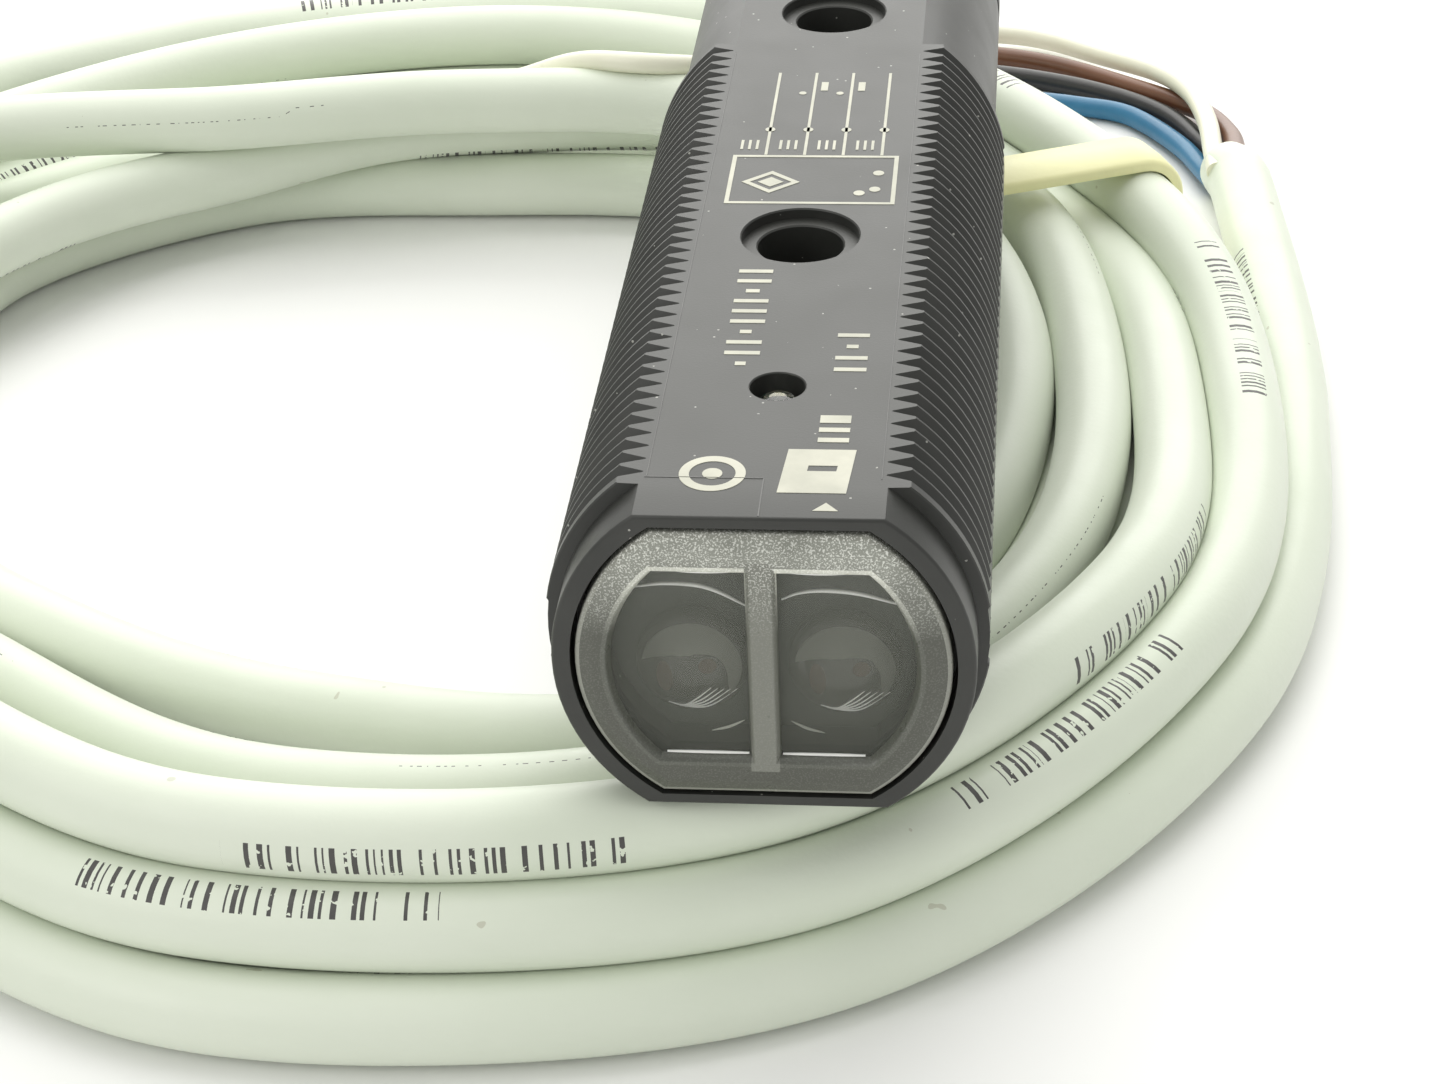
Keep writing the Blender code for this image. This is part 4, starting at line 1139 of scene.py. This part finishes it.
def make_tie():
    """A flat band pulled round the coil, with rounded outer edges."""
    half = TIE_WIDTH / 2
    rows = [(-half, 0.10), (-half, 0.55), (-half + 0.25, 0.75), (0.0, 0.82)]
    rows += [(-across, clearance) for across, clearance in reversed(rows[:-1])]
    bm = bmesh.new()
    rings = []
    for across, clearance in rows:
        ring = []
        for reach, z in bundle_outline(clearance):
            flat = np.array((WIND_X, WIND_Y)) + TIE_OUT * reach + TIE_SIDE * across
            ring.append(bm.verts.new(place(flat[0], flat[1], z)))
        rings.append(ring)
    for one, other in zip(rings, rings[1:] + rings[:1]):
        add_band(bm, one, other)
    tie = from_bmesh("coil_tie_band", bm, [TIE], sharp=60)
    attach(tie, "sensor")
    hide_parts("coil_tie")


make_tie()


# Rear cap, strain relief and adjuster

FLANGE_FRONT = 65.1
PLUG, PLUG_HALF, PLUG_FRONT = 6.7, 5.2, 60.0
CAP_BACK, CAP_ROUND, CAP_NARROWS = 70.0, 3.0, 1.3
ADJUSTER_X, ADJUSTER_Z = 4.3, 0.3
HEAD_RADIUS, HEAD_FRONT, HEAD_BACK = 1.45, 67.4, 69.3
SHAFT_RADIUS, SHAFT_FRONT = 0.9, 57.3
SCREW_EDGE, SLOT_HALF, SLOT_FLOOR = 0.12, 0.25, 68.5
OUTLET, DIAL_RADIUS, DIAL_STEP = 2.95, 2.35, 30
BOOT_BORE, BOOT_WAIST, BOOT_COLLAR = 2.25, 2.65, 3.5
RIBS, RIBS_START, RIBS_END, RIB_DEPTH, BOOT_TAPER = 5, 71.4, 78.8, 0.42, 0.75


def make_cap():
    """The plug inside the housing and the rounded end behind it, with both outlets and a dial of dots."""
    plug, flange = flat_sided(PLUG, PLUG_HALF), flat_sided(REAR, FLAT_HALF)
    sections = [(PLUG_FRONT, plug), (FLANGE_FRONT, plug)]
    sections.append((FLANGE_FRONT + 0.01, flat_sided(REAR - 0.08, FLAT_HALF - 0.08)))
    sections.append((FLANGE_FRONT + 0.09, flange))
    for short, narrower in quarter(steps=8):
        inset = CAP_NARROWS * narrower
        sections.append((CAP_BACK - CAP_ROUND * short, flat_sided(REAR - inset, FLAT_HALF - inset)))
    bm = bmesh.new()
    add_loft(bm, sections)
    cap = from_bmesh("moulded_rear_cap", bm, [CAP])
    bm = bmesh.new()
    outlet = [(OUTLET, 59.0), (OUTLET, CAP_BACK - 0.15), (OUTLET + 0.3, CAP_BACK + 0.2), (3.4, 71.0)]
    add_turned(bm, outlet, (CABLE_X, 0, 0), "Y")
    well, bore = HEAD_RADIUS + 0.3, SHAFT_RADIUS + 0.3
    profile = [(bore, 59.0), (bore, 67.1), (well, 67.1), (well, 69.6), (well + 0.5, 70.5)]
    add_turned(bm, profile, (ADJUSTER_X, 0, ADJUSTER_Z), "Y")
    applied(cap, [from_bmesh("cap_holes", bm, [CAP])])
    bm = bmesh.new()
    for i in range(-4, 5):
        turn = math.radians(DIAL_STEP * i)
        x, z = ADJUSTER_X + DIAL_RADIUS * math.sin(turn), ADJUSTER_Z + DIAL_RADIUS * math.cos(turn)
        add_turned(bm, [(0.10, 69.6), (0.10, 70.3)], (x, 0, z), "Y", steps=12)
    applied(cap, [from_bmesh("scale_dots", bm, [CAP])])
    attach(cap, "sensor")
    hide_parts("rear_cap")


def make_boot():
    """A tapered relief with rounded ribs, and a collar where it meets the cap."""
    profile = [(BOOT_BORE, 62.0), (BOOT_WAIST, 62.0), (BOOT_WAIST, 70.3), (BOOT_COLLAR - 0.15, 70.3)]
    profile += [(BOOT_COLLAR, 70.45), (BOOT_COLLAR, RIBS_START)]
    pitch = (RIBS_END - RIBS_START) / RIBS
    for i in range(RIBS):
        for j in range(8):
            passed = i + j / 8
            wave = 0.5 - 0.5 * math.cos(2 * math.pi * j / 8)
            radius = BOOT_COLLAR - BOOT_TAPER * passed / RIBS - RIB_DEPTH * wave
            profile.append((radius, RIBS_START + pitch * passed))
    profile += [(2.70, RIBS_END), (2.62, BOOT_BACK - 0.05), (2.5, BOOT_BACK), (2.32, BOOT_BACK)]
    profile.append((BOOT_BORE, BOOT_BACK - 0.1))
    bm = bmesh.new()
    add_turned(bm, profile, (CABLE_X, 0, 0), "Y", closed_profile=True)
    boot = from_bmesh("ribbed_strain_relief", bm, [RUBBER], sharp=40)
    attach(boot, "sensor")
    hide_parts("strain_relief")


def make_adjuster():
    """The screw that turns: a shaft, and a head with a slot across it."""
    edge, head = SCREW_EDGE, HEAD_RADIUS
    profile = [(SHAFT_RADIUS - 0.1, SHAFT_FRONT), (SHAFT_RADIUS, SHAFT_FRONT + 0.1)]
    profile += [(SHAFT_RADIUS, HEAD_FRONT), (head - edge, HEAD_FRONT), (head, HEAD_FRONT + edge)]
    profile += [(head, HEAD_BACK - edge), (head - edge * 0.3, HEAD_BACK - edge * 0.3)]
    profile.append((head - edge, HEAD_BACK))
    bm = bmesh.new()
    add_turned(bm, profile, (ADJUSTER_X, 0, ADJUSTER_Z), "Y")
    screw = from_bmesh("slotted_adjuster", bm, [NYLON])
    left, right = ADJUSTER_X - SLOT_HALF, ADJUSTER_X + SLOT_HALF
    slot = [(left, -3), (right, -3), (right, 3), (left, 3)]
    bm = bmesh.new()
    add_loft(bm, [(SLOT_FLOOR, slot), (CAP_BACK, slot)])
    applied(screw, [from_bmesh("slot_cut", bm, [NYLON])])
    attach(screw, "adjuster")
    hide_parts("adjuster_screw")


make_cap()
make_boot()
make_adjuster()


# Stage

FLOOR_SIZE = 6.0
SKY, SKY_STRENGTH = (1.0, 1.0, 0.985, 1.0), 0.62
LIGHT_COLOUR = (1.0, 0.995, 0.96)

# Each light's place, size in metres and power in watts; all face the middle
LIGHTS = {
    "overhead": ((-0.05, 0.10, 0.55), 0.45, 1.2),
    "front_left": ((-0.45, -0.35, 0.40), 0.40, 0.8),
    "rear": ((-0.06, 0.68, 0.42), 0.95, 7.0),
}


def make_stage():
    finish = plain("studio_floor", (0.90, 0.90, 0.89), (0.92, 0.92, 0.91), (0.75, 0.85), 60, 1e-6)
    half = FLOOR_SIZE / 2
    corners = [(-half, -half, FLOOR_Z), (half, -half, FLOOR_Z), (half, half, FLOOR_Z), (-half, half, FLOOR_Z)]
    floor = new_object("studio_floor", corners, [(0, 1, 2, 3)], [finish], smooth=False)
    world = bpy.data.worlds.new("studio")
    world.use_nodes = True
    background = world.node_tree.nodes["Background"]
    background.inputs["Color"].default_value = SKY
    background.inputs["Strength"].default_value = SKY_STRENGTH
    bpy.context.scene.world = world
    for name, (spot, size, power) in LIGHTS.items():
        data = bpy.data.lights.new(name, "AREA")
        data.size = size
        data.energy = power
        data.color = LIGHT_COLOUR
        light = bpy.data.objects.new(name, data)
        light.location = spot
        light.rotation_euler = Vector(spot).to_track_quat("Z", "Y").to_euler()
        bpy.context.scene.collection.objects.link(light)
    bpy.context.scene.view_settings.view_transform = "Standard"


make_stage()


# Carried-over nodes

NODE_FINISHES = (
    (RUBBER, "window_seal", "rear_seal"),
    (BARRIER, "light_barrier"),
    (HOLDER, "optics_holder"),
    (RESIN, "emitter_diode", "receiver_diode"),
    (LAMINATE, "circuit_board"),
    (PACKAGE, "indicator_led"),
    (LIGHT_GUIDE, "indicator_light_guide"),
    (TIN, "receiver_shield"),
    (EPOXY, "processor_chip", "driver_chip", "output_transistor_left", "output_transistor_right"),
    (SLEEVE, "filter_capacitor"),
    (ADJUSTER_BLUE, "adjuster_case"),
    (CABLE, "cable_in_strain_relief"),
    *((finish, "inner_lead_" + colour) for colour, finish in CONDUCTORS.items()),
)


def dress_nodes():
    for finish, *names in NODE_FINISHES:
        for name in names:
            mesh = NODES[name].data
            mesh.materials.clear()
            mesh.materials.append(finish.material)


dress_nodes()
